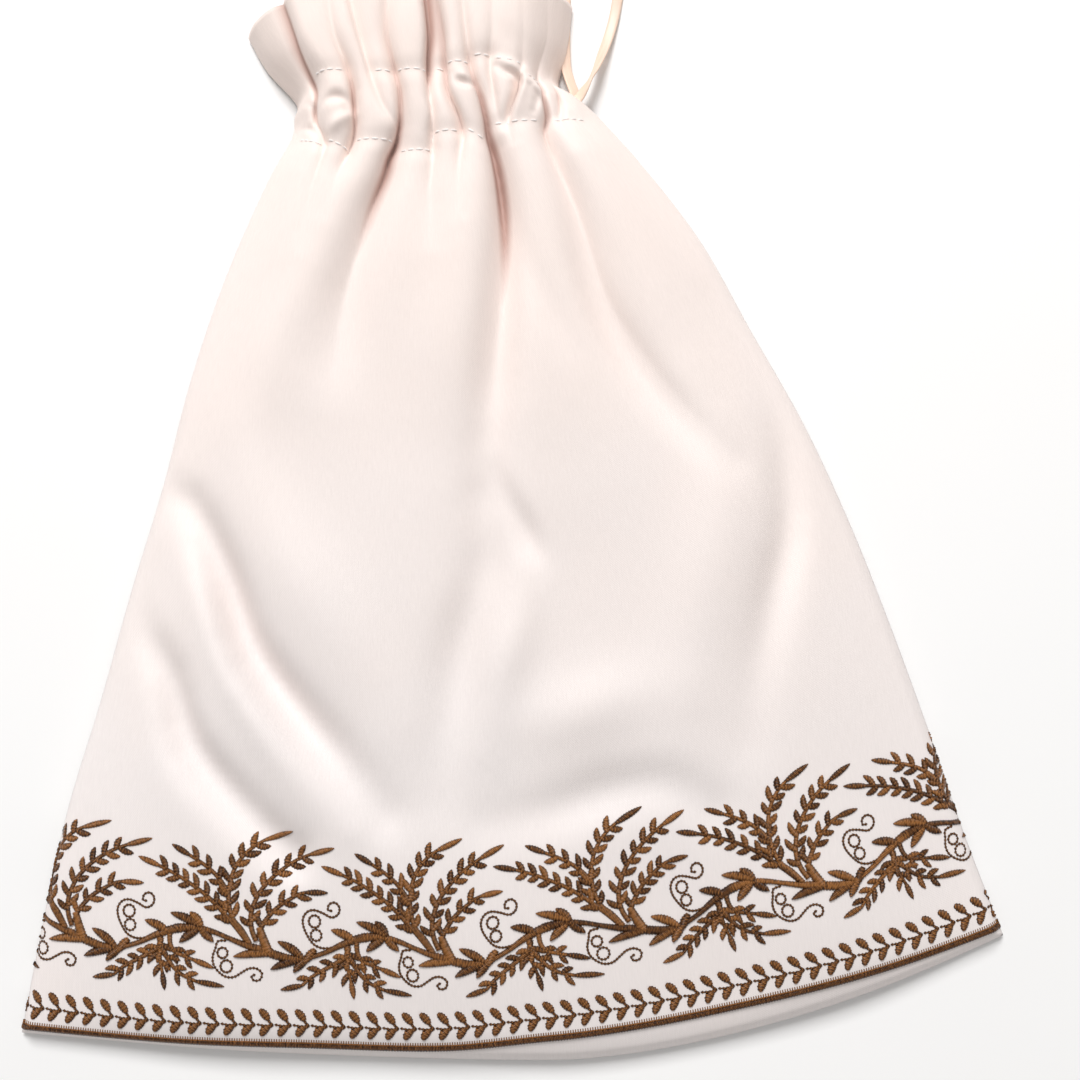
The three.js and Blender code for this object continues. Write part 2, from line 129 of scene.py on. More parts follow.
# The same columns, for the small turns and dents of the gathered casing and the heading.
NECK_FOLDS = table("name path start middle end wide wide_end", [
    ("left turn", [(0.07, 1.052), (0.094, 1.04), (0.097, 1.021), (0.081, 1.004)],
     -0.2, -0.4, -0.2, 0.09, 0.09),
    ("left hook", [(0.047, 1.005), (0.07, 1.006), (0.092, 1.003), (0.138, 0.989)],
     -0.2, -0.35, -0.2, 0.08, 0.1),
    ("crescent", [(0.123, 1.041), (0.175, 1.052), (0.211, 1.048), (0.218, 1.036)],
     -0.1, -0.45, -0.3, 0.12, 0.12),
    ("bright fold", [(0.237, 1.033), (0.203, 1.024), (0.159, 1.008), (0.147, 0.996)],
     0.25, 0.35, 0.1, 0.13, 0.15),
    ("dent", [(0.61, 1.078), (0.622, 1.069), (0.643, 1.065), (0.664, 1.066)], -0.1, -0.4, -0.2, 0.09, 0.09),
    ("knot", [(0.628, 1.076), (0.64, 1.076), (0.65, 1.075), (0.662, 1.075)], 0.1, 0.2, 0.1, 0.09, 0.09),
    ("loop", [(0.772, 1.096), (0.852, 1.081), (0.833, 1.058), (0.737, 1.015)], 0.2, 0.45, 0.2, 0.12, 0.14),
    ("in the loop", [(0.775, 1.088), (0.801, 1.08), (0.825, 1.073), (0.817, 1.057)],
     -0.2, -0.45, -0.2, 0.1, 0.1),
    ("second loop", [(0.859, 1.074), (0.87, 1.053), (0.871, 1.033), (0.838, 1.006)],
     0.2, 0.35, 0.1, 0.1, 0.11),
    ("in the second", [(0.849, 1.05), (0.847, 1.036), (0.832, 1.025), (0.81, 1.015)],
     -0.2, -0.4, -0.2, 0.09, 0.09),
    ("last roll", [(0.964, 1.076), (0.972, 1.056), (0.961, 1.03), (0.93, 0.993)], 0.2, 0.3, 0.1, 0.1, 0.12),
    ("last tuck", [(0.92, 1.052), (0.907, 1.03), (0.895, 1.013), (0.864, 1.000)],
     -0.2, -0.4, -0.1, 0.09, 0.1),
    ("heading shade", [(0.782, 1.102), (0.834, 1.119), (0.86, 1.13), (0.881, 1.136)],
     -0.1, -0.25, -0.1, 0.4, 0.5),
    ("side seam", [(0.921, 1.036), (0.913, 0.951), (0.943, 0.829), (0.981, 0.64)],
     -0.1, -0.12, -0.08, 0.06, 0.06),
])

# Creases that the drawstring and the two stitch rows hold, from the mouth down into the body. up:
# share of body_length. depth: share of gather_depth. left and right: how far each side of the valley
# reaches, share of gather_reach. under: how far the valley's bottom hides under the left panel (below
# 0) or under the right one, share of gather_reach.
CREASE_COLUMNS = "up across depth left right under"
CREASES = {
    "left flap": table(CREASE_COLUMNS, [
        (1.191, 0.127, 0.95, 2.6, 0.6, 0.2), (1.142, 0.121, 1.00, 2.2, 0.5, 0.3),
        (1.090, 0.089, 1.00, 1.0, 0.6, 0.3), (1.055, 0.103, 0.90, 0.7, 0.7, -0.2),
        (1.019, 0.103, 0.80, 0.7, 0.7, -0.2), (0.987, 0.138, 0.60, 0.8, 0.9, 0.1),
        (0.930, 0.150, 0.25, 1.4, 1.6, 0.0), (0.860, 0.160, 0.00, 2.0, 2.4, 0.0),
    ]),
    "left panel": table(CREASE_COLUMNS, [
        (1.191, 0.271, 0.25, 1.4, 1.4, 0.0), (1.134, 0.248, 0.40, 1.0, 1.0, 0.0),
        (1.086, 0.236, 0.75, 0.6, 0.7, -0.3), (1.060, 0.242, 0.95, 0.5, 0.6, -0.4),
        (1.032, 0.242, 0.95, 0.5, 0.6, -0.4), (0.990, 0.219, 0.70, 0.6, 0.8, -0.2),
        (0.950, 0.205, 0.20, 1.4, 1.6, 0.0), (0.900, 0.200, 0.00, 2.0, 2.4, 0.0),
    ]),
    "recess": table(CREASE_COLUMNS, [
        (1.191, 0.330, 0.55, 0.7, 2.2, -0.2), (1.131, 0.327, 0.60, 0.6, 1.8, -0.2),
        (1.085, 0.310, 0.45, 0.5, 1.2, -0.1), (1.059, 0.324, 0.40, 0.8, 1.0, 0.0),
        (1.038, 0.348, 0.30, 0.9, 0.8, 0.0), (1.018, 0.385, 0.00, 1.0, 0.8, 0.0),
    ]),
    "triangle": table(CREASE_COLUMNS, [
        (1.191, 0.455, 0.50, 1.2, 1.6, 0.0), (1.129, 0.411, 0.65, 0.9, 1.2, 0.0),
        (1.088, 0.394, 0.80, 0.6, 0.8, 0.2), (1.061, 0.403, 0.90, 0.6, 0.7, -0.1),
        (1.036, 0.397, 0.95, 0.6, 0.8, -0.4), (1.016, 0.376, 1.05, 0.6, 1.1, -0.5),
        (0.992, 0.344, 1.15, 0.7, 1.6, -0.5), (0.967, 0.330, 1.10, 0.9, 2.0, -0.4),
        (0.923, 0.301, 0.85, 1.3, 2.8, -0.2), (0.835, 0.268, 0.40, 2.2, 4.0, 0.0),
        (0.784, 0.262, 0.20, 3.0, 4.5, 0.0), (0.700, 0.262, 0.00, 3.5, 5.0, 0.0),
    ]),
    "deep valley": table(CREASE_COLUMNS, [
        (1.191, 0.560, 1.15, 0.5, 0.9, -0.5), (1.129, 0.556, 1.15, 0.4, 1.0, -0.5),
        (1.083, 0.523, 0.95, 0.4, 0.9, -0.4), (1.054, 0.509, 0.65, 0.5, 0.6, -0.3),
        (1.034, 0.502, 0.60, 0.5, 0.6, -0.3), (1.006, 0.477, 0.60, 0.6, 0.7, -0.2),
        (0.981, 0.465, 0.45, 0.9, 0.9, 0.0), (0.949, 0.454, 0.30, 1.4, 1.2, 0.0),
        (0.880, 0.453, 0.00, 2.2, 2.0, 0.0),
    ]),
    "narrow": table(CREASE_COLUMNS, [
        (1.191, 0.580, 0.20, 0.6, 0.7, 0.2), (1.129, 0.590, 0.55, 0.6, 0.7, 0.3),
        (1.084, 0.578, 0.75, 0.6, 0.5, 0.3), (1.060, 0.566, 0.80, 0.5, 0.5, 0.3),
        (1.030, 0.574, 0.85, 0.5, 0.5, 0.3), (1.007, 0.567, 0.70, 0.6, 0.6, 0.2),
        (0.987, 0.551, 0.45, 0.8, 0.8, 0.0), (0.963, 0.535, 0.25, 1.0, 1.2, 0.0),
        (0.910, 0.520, 0.00, 1.6, 2.0, 0.0),
    ]),
    "right gap": table(CREASE_COLUMNS, [
        (1.191, 0.665, 0.25, 1.0, 1.0, 0.0), (1.133, 0.671, 0.50, 0.8, 0.8, 0.0),
        (1.083, 0.682, 0.80, 0.6, 0.6, -0.2), (1.052, 0.679, 0.95, 0.6, 0.6, -0.3),
        (1.024, 0.666, 1.05, 0.6, 0.6, -0.3), (1.004, 0.654, 1.20, 0.6, 0.8, -0.4),
        (0.982, 0.650, 1.40, 0.6, 0.9, -0.4), (0.938, 0.637, 1.40, 0.8, 1.2, -0.3),
        (0.898, 0.621, 1.10, 1.1, 1.6, -0.1), (0.848, 0.598, 0.75, 1.6, 2.2, 0.0),
        (0.780, 0.567, 0.40, 2.2, 3.0, 0.0), (0.700, 0.538, 0.00, 3.0, 4.0, 0.0),
    ]),
    "soft tuck": table(CREASE_COLUMNS, [
        (1.191, 0.758, 0.15, 1.4, 1.4, 0.0), (1.129, 0.756, 0.25, 1.0, 1.2, 0.0),
        (1.081, 0.742, 0.50, 0.7, 0.8, 0.1), (1.052, 0.720, 0.50, 0.7, 0.7, 0.1),
        (1.028, 0.703, 0.35, 0.8, 0.8, 0.0), (1.000, 0.695, 0.00, 1.0, 1.0, 0.0),
    ]),
    "loops": table(CREASE_COLUMNS, [
        (1.191, 0.844, 0.10, 2.0, 2.0, 0.0), (1.120, 0.859, 0.20, 1.4, 1.4, 0.0),
        (1.086, 0.858, 0.45, 0.7, 0.7, 0.1), (1.055, 0.804, 0.75, 0.5, 0.6, 0.3),
        (1.021, 0.734, 0.60, 0.5, 0.6, 0.2), (1.006, 0.715, 0.30, 0.7, 0.7, 0.0),
        (0.980, 0.705, 0.00, 1.0, 1.0, 0.0),
    ]),
    "right turn": table(CREASE_COLUMNS, [
        (1.191, 0.921, 0.15, 1.4, 1.0, 0.0), (1.129, 0.933, 0.30, 1.2, 0.9, 0.0),
        (1.067, 0.908, 0.75, 0.6, 0.6, -0.2), (1.034, 0.872, 0.90, 0.6, 0.6, -0.3),
        (1.006, 0.842, 0.90, 0.7, 0.7, -0.3), (0.986, 0.807, 0.75, 0.8, 1.0, -0.2),
        (0.960, 0.793, 0.65, 0.9, 1.4, 0.0), (0.906, 0.790, 0.50, 1.1, 1.8, 0.0),
        (0.803, 0.780, 0.35, 1.4, 2.2, 0.0), (0.716, 0.815, 0.22, 1.6, 2.4, 0.0),
        (0.638, 0.853, 0.10, 1.8, 2.6, 0.0), (0.570, 0.895, 0.00, 2.0, 3.0, 0.0),
    ]),
    "right end": table(CREASE_COLUMNS, [
        (1.191, 0.967, 0.20, 0.8, 0.8, 0.0), (1.079, 0.963, 0.50, 0.6, 0.6, 0.1),
        (1.041, 0.925, 0.75, 0.5, 0.6, 0.2), (1.011, 0.886, 0.55, 0.6, 0.7, 0.1),
        (0.990, 0.860, 0.25, 0.8, 0.8, 0.0), (0.955, 0.850, 0.00, 1.2, 1.2, 0.0),
    ]),
}

# Tucks of the back's gathers: where across, how deep as a share of gather_depth, how wide as a share
# of gather_reach.
BACK_TUCKS = table("across depth wide", [
    (0.09, 0.35, 0.9), (0.21, 0.55, 1.0), (0.33, 0.40, 0.8), (0.46, 0.60, 1.1), (0.55, 0.35, 0.7),
    (0.67, 0.55, 1.0), (0.80, 0.45, 0.9), (0.91, 0.35, 0.8),
])

# The two rows of machine stitches that hold the casing, a line for each panel that they cross: from
# [across, share of body_length] to the same.
UPPER_ROW = [
    ((0.112, 1.091), (0.216, 1.088)), ((0.327, 1.085), (0.381, 1.085)), ((0.406, 1.086), (0.515, 1.084)),
    ((0.549, 1.089), (0.575, 1.088)), ((0.594, 1.094), (0.673, 1.094)), ((0.694, 1.103), (0.750, 1.103)),
    ((0.764, 1.099), (0.862, 1.093)), ((0.872, 1.075), (0.915, 1.070)),
]
LOWER_ROW = [
    ((0.056, 0.989), (0.130, 0.988)), ((0.149, 0.994), (0.214, 0.989)), ((0.237, 1.002), (0.352, 1.007)),
    ((0.375, 0.997), (0.466, 0.996)), ((0.491, 1.015), (0.558, 1.013)), ((0.590, 1.013), (0.632, 0.998)),
    ((0.680, 1.014), (0.805, 1.002)), ((0.847, 0.999), (0.930, 0.990)),
]

# The drawstring's route: millimetres right of and above the casing's slit, a share of the slit's
# height over the table, and how far the flat ribbon is rolled there, in degrees.
RIBBON_ROUTE = table("x y up roll", [
    (-2.6, -1.6, 1, 10), (0, 0, 1, 20), (1.8, 2.6, 1.1, 45), (3.2, 5.2, 1, 70), (4.8, 8.4, 0.8, 55),
    (6.4, 12.8, 0.45, 30), (8.4, 18.6, 0.15, 12), (10.0, 24.8, 0, 4), (11.4, 34, 0, 0),
    (12.4, 46, 0, 0), (12.8, 60, 0, 0), (12.4, 74, 0, 0), (10.6, 85, 0, 0), (6.2, 92.6, 0, 0),
    (0.2, 95.0, 0, 0), (-5.4, 91.6, 0, 0), (-8.2, 83.6, 0, 0), (-8.2, 72, 0, 0), (-6.4, 60, 0, 0),
    (-4.4, 49, 0, 0), (-3.4, 39, 0, 0), (-3.2, 30, 0, 0), (-3.3, 22, 0, 0), (-3.3, 15, 0.05, 0),
    (-3.0, 9.4, 0.35, 15), (-1.9, 5.0, 0.75, 25), (-0.9, 1.4, 1, 20), (-2.6, -1.8, 1, 10),
])
UPPER_STRAND = 14              # the route's points up to here belong to the upper strand

# The border

# How far the brown line lies above the bottom fold, in millimetres along the cloth.
LINE_ROWS = table("across front back", [
    (0.000, 2.2, 4.0), (0.155, 2.5, 4.0), (0.285, 3.6, 4.0), (0.430, 4.1, 4.0), (0.550, 7.4, 4.0),
    (0.700, 8.2, 4.0), (0.810, 7.1, 4.0), (0.920, 4.9, 4.0), (1.000, 3.3, 4.0),
])

# Where the scroll's troughs lie: millimetres along the brown line and above it.
FRONT_TROUGHS = [
    (-27.2, 21.5), (21.4, 21.4), (69.5, 21.0), (116.8, 19.7), (168.4, 21.5), (215.7, 22.2), (264.3, 23.0),
]
BACK_TROUGHS = [(-4.0, 21.0), (44.6, 21.0), (93.2, 21.0), (141.8, 21.0), (190.4, 21.0), (239.0, 21.0)]
MOTIF_HEIGHT = 19.5            # the charted trough's height above the line, in millimetres
SCROLL_REPEAT = 48.6           # from one charted trough to the next, in millimetres

# One repeat of the scroll, charted from its trough: millimetres along the brown line and above it.
SCROLL_STEM = [
    (-30.9, 26.8), (-27.3, 27.2), (-23.8, 27.0), (-20.5, 26.3), (-16.4, 24.8), (-12.4, 23.4), (-8.4, 22.3),
    (-4.9, 21.2), (-1.7, 20.5), (1.5, 20.4), (3.8, 20.9), (6.4, 21.8), (9.0, 22.9), (11.4, 24.2),
    (14.1, 25.4), (17.0, 26.5), (19.0, 26.9),
]
# A frond's path ends in the tip of its long end leaf. Its first millimetres are bare.
FRONDS = table("path bare leaf", [
    ([(-11.8, 23.9), (-14.9, 27.5), (-18.1, 30.8), (-21.4, 33.9), (-24.7, 36.4), (-28.7, 38.7),
      (-32.2, 40.4), (-36.2, 41.9), (-42.2, 43.7)], 8.5, 1.0),
    ([(-17.2, 32.9), (-17.7, 36.1), (-19.5, 39.0), (-21.8, 41.3), (-24.7, 43.3), (-28.1, 45.1),
      (-33.1, 47.5)], 2.5, 1.0),
    ([(-11.5, 23.8), (-13.8, 27.3), (-16.0, 29.7), (-17.1, 32.7), (-17.4, 36.1), (-17.0, 39.6),
      (-15.9, 42.7), (-14.1, 45.4), (-11.6, 47.7), (-9.2, 49.1), (-1.6, 51.7)], 7.0, 1.05),
    ([(-9.9, 24.5), (-11.1, 27.3), (-11.5, 30.5), (-10.8, 33.6), (-9.4, 36.6), (-7.1, 39.5),
      (-4.2, 42.1), (-0.7, 44.4), (3.1, 46.2), (9.9, 48.5)], 4.0, 1.05),
    ([(-9.3, 25.5), (-8.6, 28.1), (-6.9, 30.7), (-4.6, 33.1), (-1.7, 35.1), (0.8, 36.5), (2.5, 37.0),
      (8.4, 37.3)], 2.5, 1.0),
    ([(13.9, 24.6), (13.4, 21.9), (11.2, 20.2), (8.6, 18.6), (5.9, 17.0), (3.8, 15.5), (2.1, 13.8),
      (-3.4, 12.5)], 2.0, 0.95),
    ([(14.1, 24.2), (13.8, 20.6), (14.2, 17.7), (14.8, 15.6), (15.6, 11.2)], 2.5, 0.95),
    ([(13.4, 24.4), (14.4, 21.5), (16.0, 19.1), (18.0, 16.8), (20.3, 15.2), (23.7, 13.9), (30.9, 12.9)],
     2.0, 0.95),
    ([(16.2, 25.8), (16.5, 22.9), (17.7, 21.1), (20.1, 20.1), (22.7, 19.3), (28.1, 17.4)], 4.5, 0.9),
])
BIG_LEAVES = [
    ((-32.8, 25.9), (-39.2, 28.2)), ((-24.3, 27.7), (-32.4, 30.6)), ((-24.0, 27.7), (-27.3, 31.1)),
    ((-24.6, 27.6), (-20.8, 24.0)), ((-24.9, 26.8), (-29.7, 23.4)), ((-5.7, 21.5), (-15.6, 20.5)),
    ((2.2, 20.7), (-4.4, 24.6)), ((1.6, 20.2), (-6.0, 17.6)), ((5.4, 23.1), (2.6, 19.3)),
    ((3.2, 20.5), (-0.2, 17.0)),
]
TRUNK = [(-6.8, 21.6), (-8.0, 24.7), (-9.2, 28.0)]
TENDRILS = [
    [(9.8, 23.7), (7.0, 23.5), (4.8, 24.4), (3.2, 26.4), (2.1, 28.7), (2.0, 30.7), (3.1, 32.3), (4.8, 32.8),
     (7.1, 32.2), (9.5, 31.3), (11.2, 32.2), (11.5, 33.9), (10.3, 35.0), (8.8, 34.5), (8.5, 33.1),
     (9.7, 32.9)],
    [(-17.5, 24.4), (-19.7, 24.1), (-20.3, 22.3), (-20.9, 20.3), (-20.6, 18.3), (-19.3, 16.6), (-17.4, 15.4),
     (-15.3, 15.4), (-13.3, 16.6), (-11.6, 17.6), (-9.7, 17.7), (-8.2, 16.5), (-8.7, 14.9), (-10.2, 14.7),
     (-10.8, 15.7), (-9.8, 16.2)],
]
TENDRIL_RINGS = table("along above radius", [
    (5.0, 30.0, 1.5), (5.5, 26.6, 1.4), (-18.4, 21.3, 1.3), (-17.3, 18.0, 1.5),
])

# One sprig of the row over the brown line, charted from its fork.
SPRIG_LEAVES = [((-0.9, 6.4), (-2.0, 7.8), (-3.2, 9.0)), ((-0.8, 4.6), (-1.9, 3.8), (-2.8, 2.2))]
SPRIG_STEMS = [((-1.1, 6.5), (-0.5, 5.6), (0.3, 5.0)), ((-1.0, 4.3), (-0.4, 4.7), (0.3, 5.0))]
SPRIG_VEIN = ((-3.9, 5.2), (-2.0, 4.9), (-0.2, 5.0))


# Sizes and colours that a user would change

def length(name, description, millimetres):
    return FloatProperty(
        name=name, description=description, default=millimetres * MM, unit="LENGTH", precision=5,
    )


def colour(name, description, red, green, blue):
    return FloatVectorProperty(
        name=name, description=description, subtype="COLOR", size=3, min=0, max=1, default=(red, green, blue),
    )


class BagSizes(bpy.types.PropertyGroup):
    hem_width: FloatProperty(
        name="Hem width", description="Across the bottom corners", unit="LENGTH",
        default=FRONT_HIGH[0] - FRONT_LOW[0],
    )
    neck_width: length("Neck width", "Across the gathers at the lower stitch row", 81.2)
    casing_top_width: length("Casing top width", "Across the gathers at the upper stitch row", 69.6)
    mouth_width: length("Mouth width", "Across the heading's free edge", 86.1)
    body_length: length("Body length", "Bottom fold to the lower stitch row", 230.5)
    casing_height: length("Casing height", "Lower to upper stitch row", 19.5)
    heading_height: length("Heading height", "Upper stitch row to the free edge", 24.5)
    hem_curve: length("Hem curve", "How far the right bottom corner lies above the lowest point", 31.1)
    neck_lean: length("Neck lean", "How far the neck lies left of the bottom's middle", 23.1)
    seam_lift: length("Seam lift", "The underside of a seam over the table", 1.0)
    seam_fill: length("Seam fill", "How far the cloth climbs close to a seam", 2.6)
    edge_roll: length("Edge roll", "How far in from an edge that climb reaches", 3.2)
    lip: length("Lip", "How far in from an edge the front cloth turns down over the back", 0.7)
    back_roll: length("Back roll", "How far in from a seam the back cloth curls up to it", 16)
    hem_puff: length("Hem puff", "The rolled bottom fold's rise", 2.4)
    hem_roll: length("Hem roll", "How far in from the bottom edge that roll reaches", 9)
    body_rise: length("Body rise", "The front over its seams, in the body", 10.5)
    neck_rise: length("Neck rise", "The front over its seams, at the gathers", 13.5)
    fold_height: length("Fold height", "A full body fold", 6.4)
    fold_width: length("Fold width", "Its half width", 12)
    crinkle_height: length("Crinkle height", "A full small turn or dent of the neck", 3.4)
    gather_depth: length("Gather depth", "A full crease of the gathered neck", 5.2)
    gather_reach: length("Gather reach", "How far a crease's side reaches", 1.9)
    gather_length: length("Gather length", "How far below the casing the back's tucks die out", 34)
    pinch: length("Pinch", "How far a stitch row draws the cloth in", 0.55)
    pinch_width: length("Pinch width", "How wide that dent is", 2.2)
    cloth: length("Cloth", "Thickness of the cloth and its facing", 0.5)
    back_gap: length("Back gap", "Room under the back cloth for its embroidery", 0.5)
    cut_top_width: length("Cut top width", "The flat cut's width at the mouth", 155)


class ThreadSizes(bpy.types.PropertyGroup):
    stitch_pitch: length("Stitch pitch", "One machine stitch of the casing", 2.5)
    stitch_length: length("Stitch length", "The part of it that shows", 1.95)
    stitch_width: length("Stitch width", "Its thread", 0.5)
    leaf_pitch: length("Leaf pitch", "From one pair of leaflets to the next", 3.35)
    leaf_length: length("Leaf length", "A leaflet", 3.7)
    leaf_width: length("Leaf width", "A leaflet, at its widest", 1.75)
    big_leaf_width: length("Big leaf width", "A leaf of the scroll's stem", 2.4)
    stem_width: length("Stem width", "The scroll's stem", 2.2)
    thread_pitch: length("Thread pitch", "One thread of satin stitch to the next", 0.36)
    relief: length("Relief", "How far satin stitch stands over the cloth", 0.5)
    sprig_pitch: length("Sprig pitch", "One sprig of the small row to the next", 4.5)
    line_width: length("Line width", "The rolled brown line", 1.7)
    edge_pitch: length("Edge pitch", "One fine stitch above that line to the next", 0.62)


class RibbonSizes(bpy.types.PropertyGroup):
    width: length("Width", "The ribbon's width", 2.8)
    thickness: length("Thickness", "The ribbon's thickness", 0.9)
    strand_gap: length("Strand gap", "Between its two strands in the slit", 0.5)
    slit_height: length("Slit height", "Middle of the casing's slit over the table", 4.05)
    rings: IntProperty(name="Rings", description="Steps along the ribbon", default=260, min=60, max=600)


class FinishColours(bpy.types.PropertyGroup):
    satin_warm: colour("Warm satin", "The satin near the neck", 0.945, 0.815, 0.755)
    satin_cool: colour("Cool satin", "The satin near the hem", 0.890, 0.825, 0.805)
    # Painted shade: the colour that the satin takes down in the neck's creases, where shade falls.
    satin_crease_shade: colour("Painted crease shade", "Painted shade down in the neck's creases", 0.520, 0.330, 0.280)
    ribbon: colour("Ribbon", "The drawstring", 0.900, 0.680, 0.545)
    # Painted highlight and shade: the thread's colour runs from thread_dark, painted shade between threads
    # and on strips' rims, to thread_light, painted highlight where it shines.
    thread_light: colour("Light thread", "Where the brown thread shines", 0.450, 0.185, 0.052)
    thread_dark: colour("Dark thread", "Between the brown threads", 0.030, 0.009, 0.002)
    sewing: colour("Sewing thread", "The casing's stitches", 0.985, 0.920, 0.890)
    floor: colour("Floor", "The table", 0.960, 0.955, 0.950)


class StageSettings(bpy.types.PropertyGroup):
    key_power: FloatProperty(name="Key power", description="The window's light", default=38.0, unit="POWER")
    fill_power: FloatProperty(name="Fill power", description="The room's light", default=1.5, unit="POWER")
    sky: FloatProperty(name="Sky", description="Light from all round", default=0.37)


# Small helpers

def smooth(value):
    value = np.clip(value, 0, 1)
    return value ** 2 * (3 - 2 * value)


def quarter_wave(value):
    return np.sin(np.clip(value, 0, 1) * math.pi / 2)


def through(knots, values, at):
    """A smooth curve through values at knots, read at any places."""
    knots = np.asarray(knots, float)
    values = np.asarray(values, float)
    after = np.minimum(np.arange(len(knots)) + 1, len(knots) - 1)
    before = np.maximum(np.arange(len(knots)) - 1, 0)
    slopes = (values[after] - values[before]) / (knots[after] - knots[before])
    i = np.searchsorted(knots[1:-1], at, side="left")
    span = knots[i + 1] - knots[i]
    t = np.clip((at - knots[i]) / span, 0, 1)
    return (
        values[i] * (2 * t ** 3 - 3 * t ** 2 + 1) + values[i + 1] * (3 * t ** 2 - 2 * t ** 3)
        + slopes[i] * span * (t ** 3 - 2 * t ** 2 + t) + slopes[i + 1] * span * (t ** 3 - t ** 2)
    )


def between(first, second, share):
    return first + (second - first) * share


def distances(points):
    """How far along a line each of its points lies."""
    steps = np.linalg.norm(np.diff(points, axis=0), axis=1)
    return np.concatenate([[0.0], np.cumsum(steps)])


def read(run, line, at):
    """A line's point, or points, so far along it."""
    return np.stack([np.interp(at, run, column) for column in line.T], axis=-1)


def smooth_line(points, step):
    """A smooth line through a few points, in even steps."""
    points = np.asarray(points, float)
    knots = distances(points)
    fine = np.linspace(0, knots[-1], 12 * len(points))
    line = np.stack([through(knots, column, fine) for column in points.T], axis=1)
    run = distances(line)
    count = max(2, int(round(run[-1] / step)) + 1)
    return read(run, line, np.linspace(0, run[-1], count))


def directions(line):
    """The unit direction of a line at each of its points."""
    ways = np.gradient(line, axis=0)
    return ways / np.linalg.norm(ways, axis=1, keepdims=True)


RELIEF_REACH = 2.6             # a fold is nothing past this many of its widths


def relief(lines, x, y):
    """The height that soft folds add at places on the table."""
    total = np.zeros_like(x)
    for spots, heights, widths in lines:
        room = RELIEF_REACH * widths.max()
        near = (x > spots[:, 0].min() - room) & (x < spots[:, 0].max() + room)
        near &= (y > spots[:, 1].min() - room) & (y < spots[:, 1].max() + room)
        px, py = x[near], y[near]
        best = np.full(px.shape, np.inf)
        height = np.zeros_like(px)
        width = np.ones_like(px)
        for k in range(len(spots) - 1):
            start, way = spots[k], spots[k + 1] - spots[k]
            t = np.clip(((px - start[0]) * way[0] + (py - start[1]) * way[1]) / (way @ way), 0, 1)
            away = np.hypot(px - start[0] - t * way[0], py - start[1] - t * way[1])
            closer = away < best
            best = np.where(closer, away, best)
            height = np.where(closer, between(heights[k], heights[k + 1], t), height)
            width = np.where(closer, between(widths[k], widths[k + 1], t), width)
        total[near] += height * np.exp(-((best / width) ** 2))
    return total


FOLD_STEPS = 14                # steps along a soft fold
LEFT_BEND, RIGHT_BEND = 2, 1.7  # powers by which a row's two ends curve up
PLACE_ROUNDS = 14              # rounds of closing in on a place on the table
SEAM_ROLL = 0.17               # share of a row's width over which the front climbs from its seam
CROWN = 0.14                   # share of the rise that is left for the very middle
SLIT_START = 0.93              # where across the front lifts off the back for the ribbon
SLIT_ROOM = 2                  # how far it lifts there, in heights of a seam
TUCK_SOFT = 0.22 * MM          # the bottom of a crease is this round
TUCK_UNDER = 1.3               # how fast a crease's shift under a panel dies out
FOLD_FADE = 1.6                # how fast the body's folds die out towards the casing
FOLD_LEFT = 0.2                # and what is left of them there
LIP_THIN = 0.1 * MM            # the lip over the back is thinner than the cloth by this
PROBE = 0.3 * MM               # how far apart a face is read for its slope
BELOW_HEM = 5 * MM             # how far past the bottom edge a place may still be found
# The cloth's own slight waves: for each, turns in a metre along x and y, and where it starts.
UNEVEN_WAVES = [(9, 5, 0.4), (-7, 12, 1.9), (14, -6, 3.1), (-11, -13, 5.0)]
UNEVEN_TURN = 6.28             # radians in one of those turns
UNEVEN = 0.2 * MM              # their height


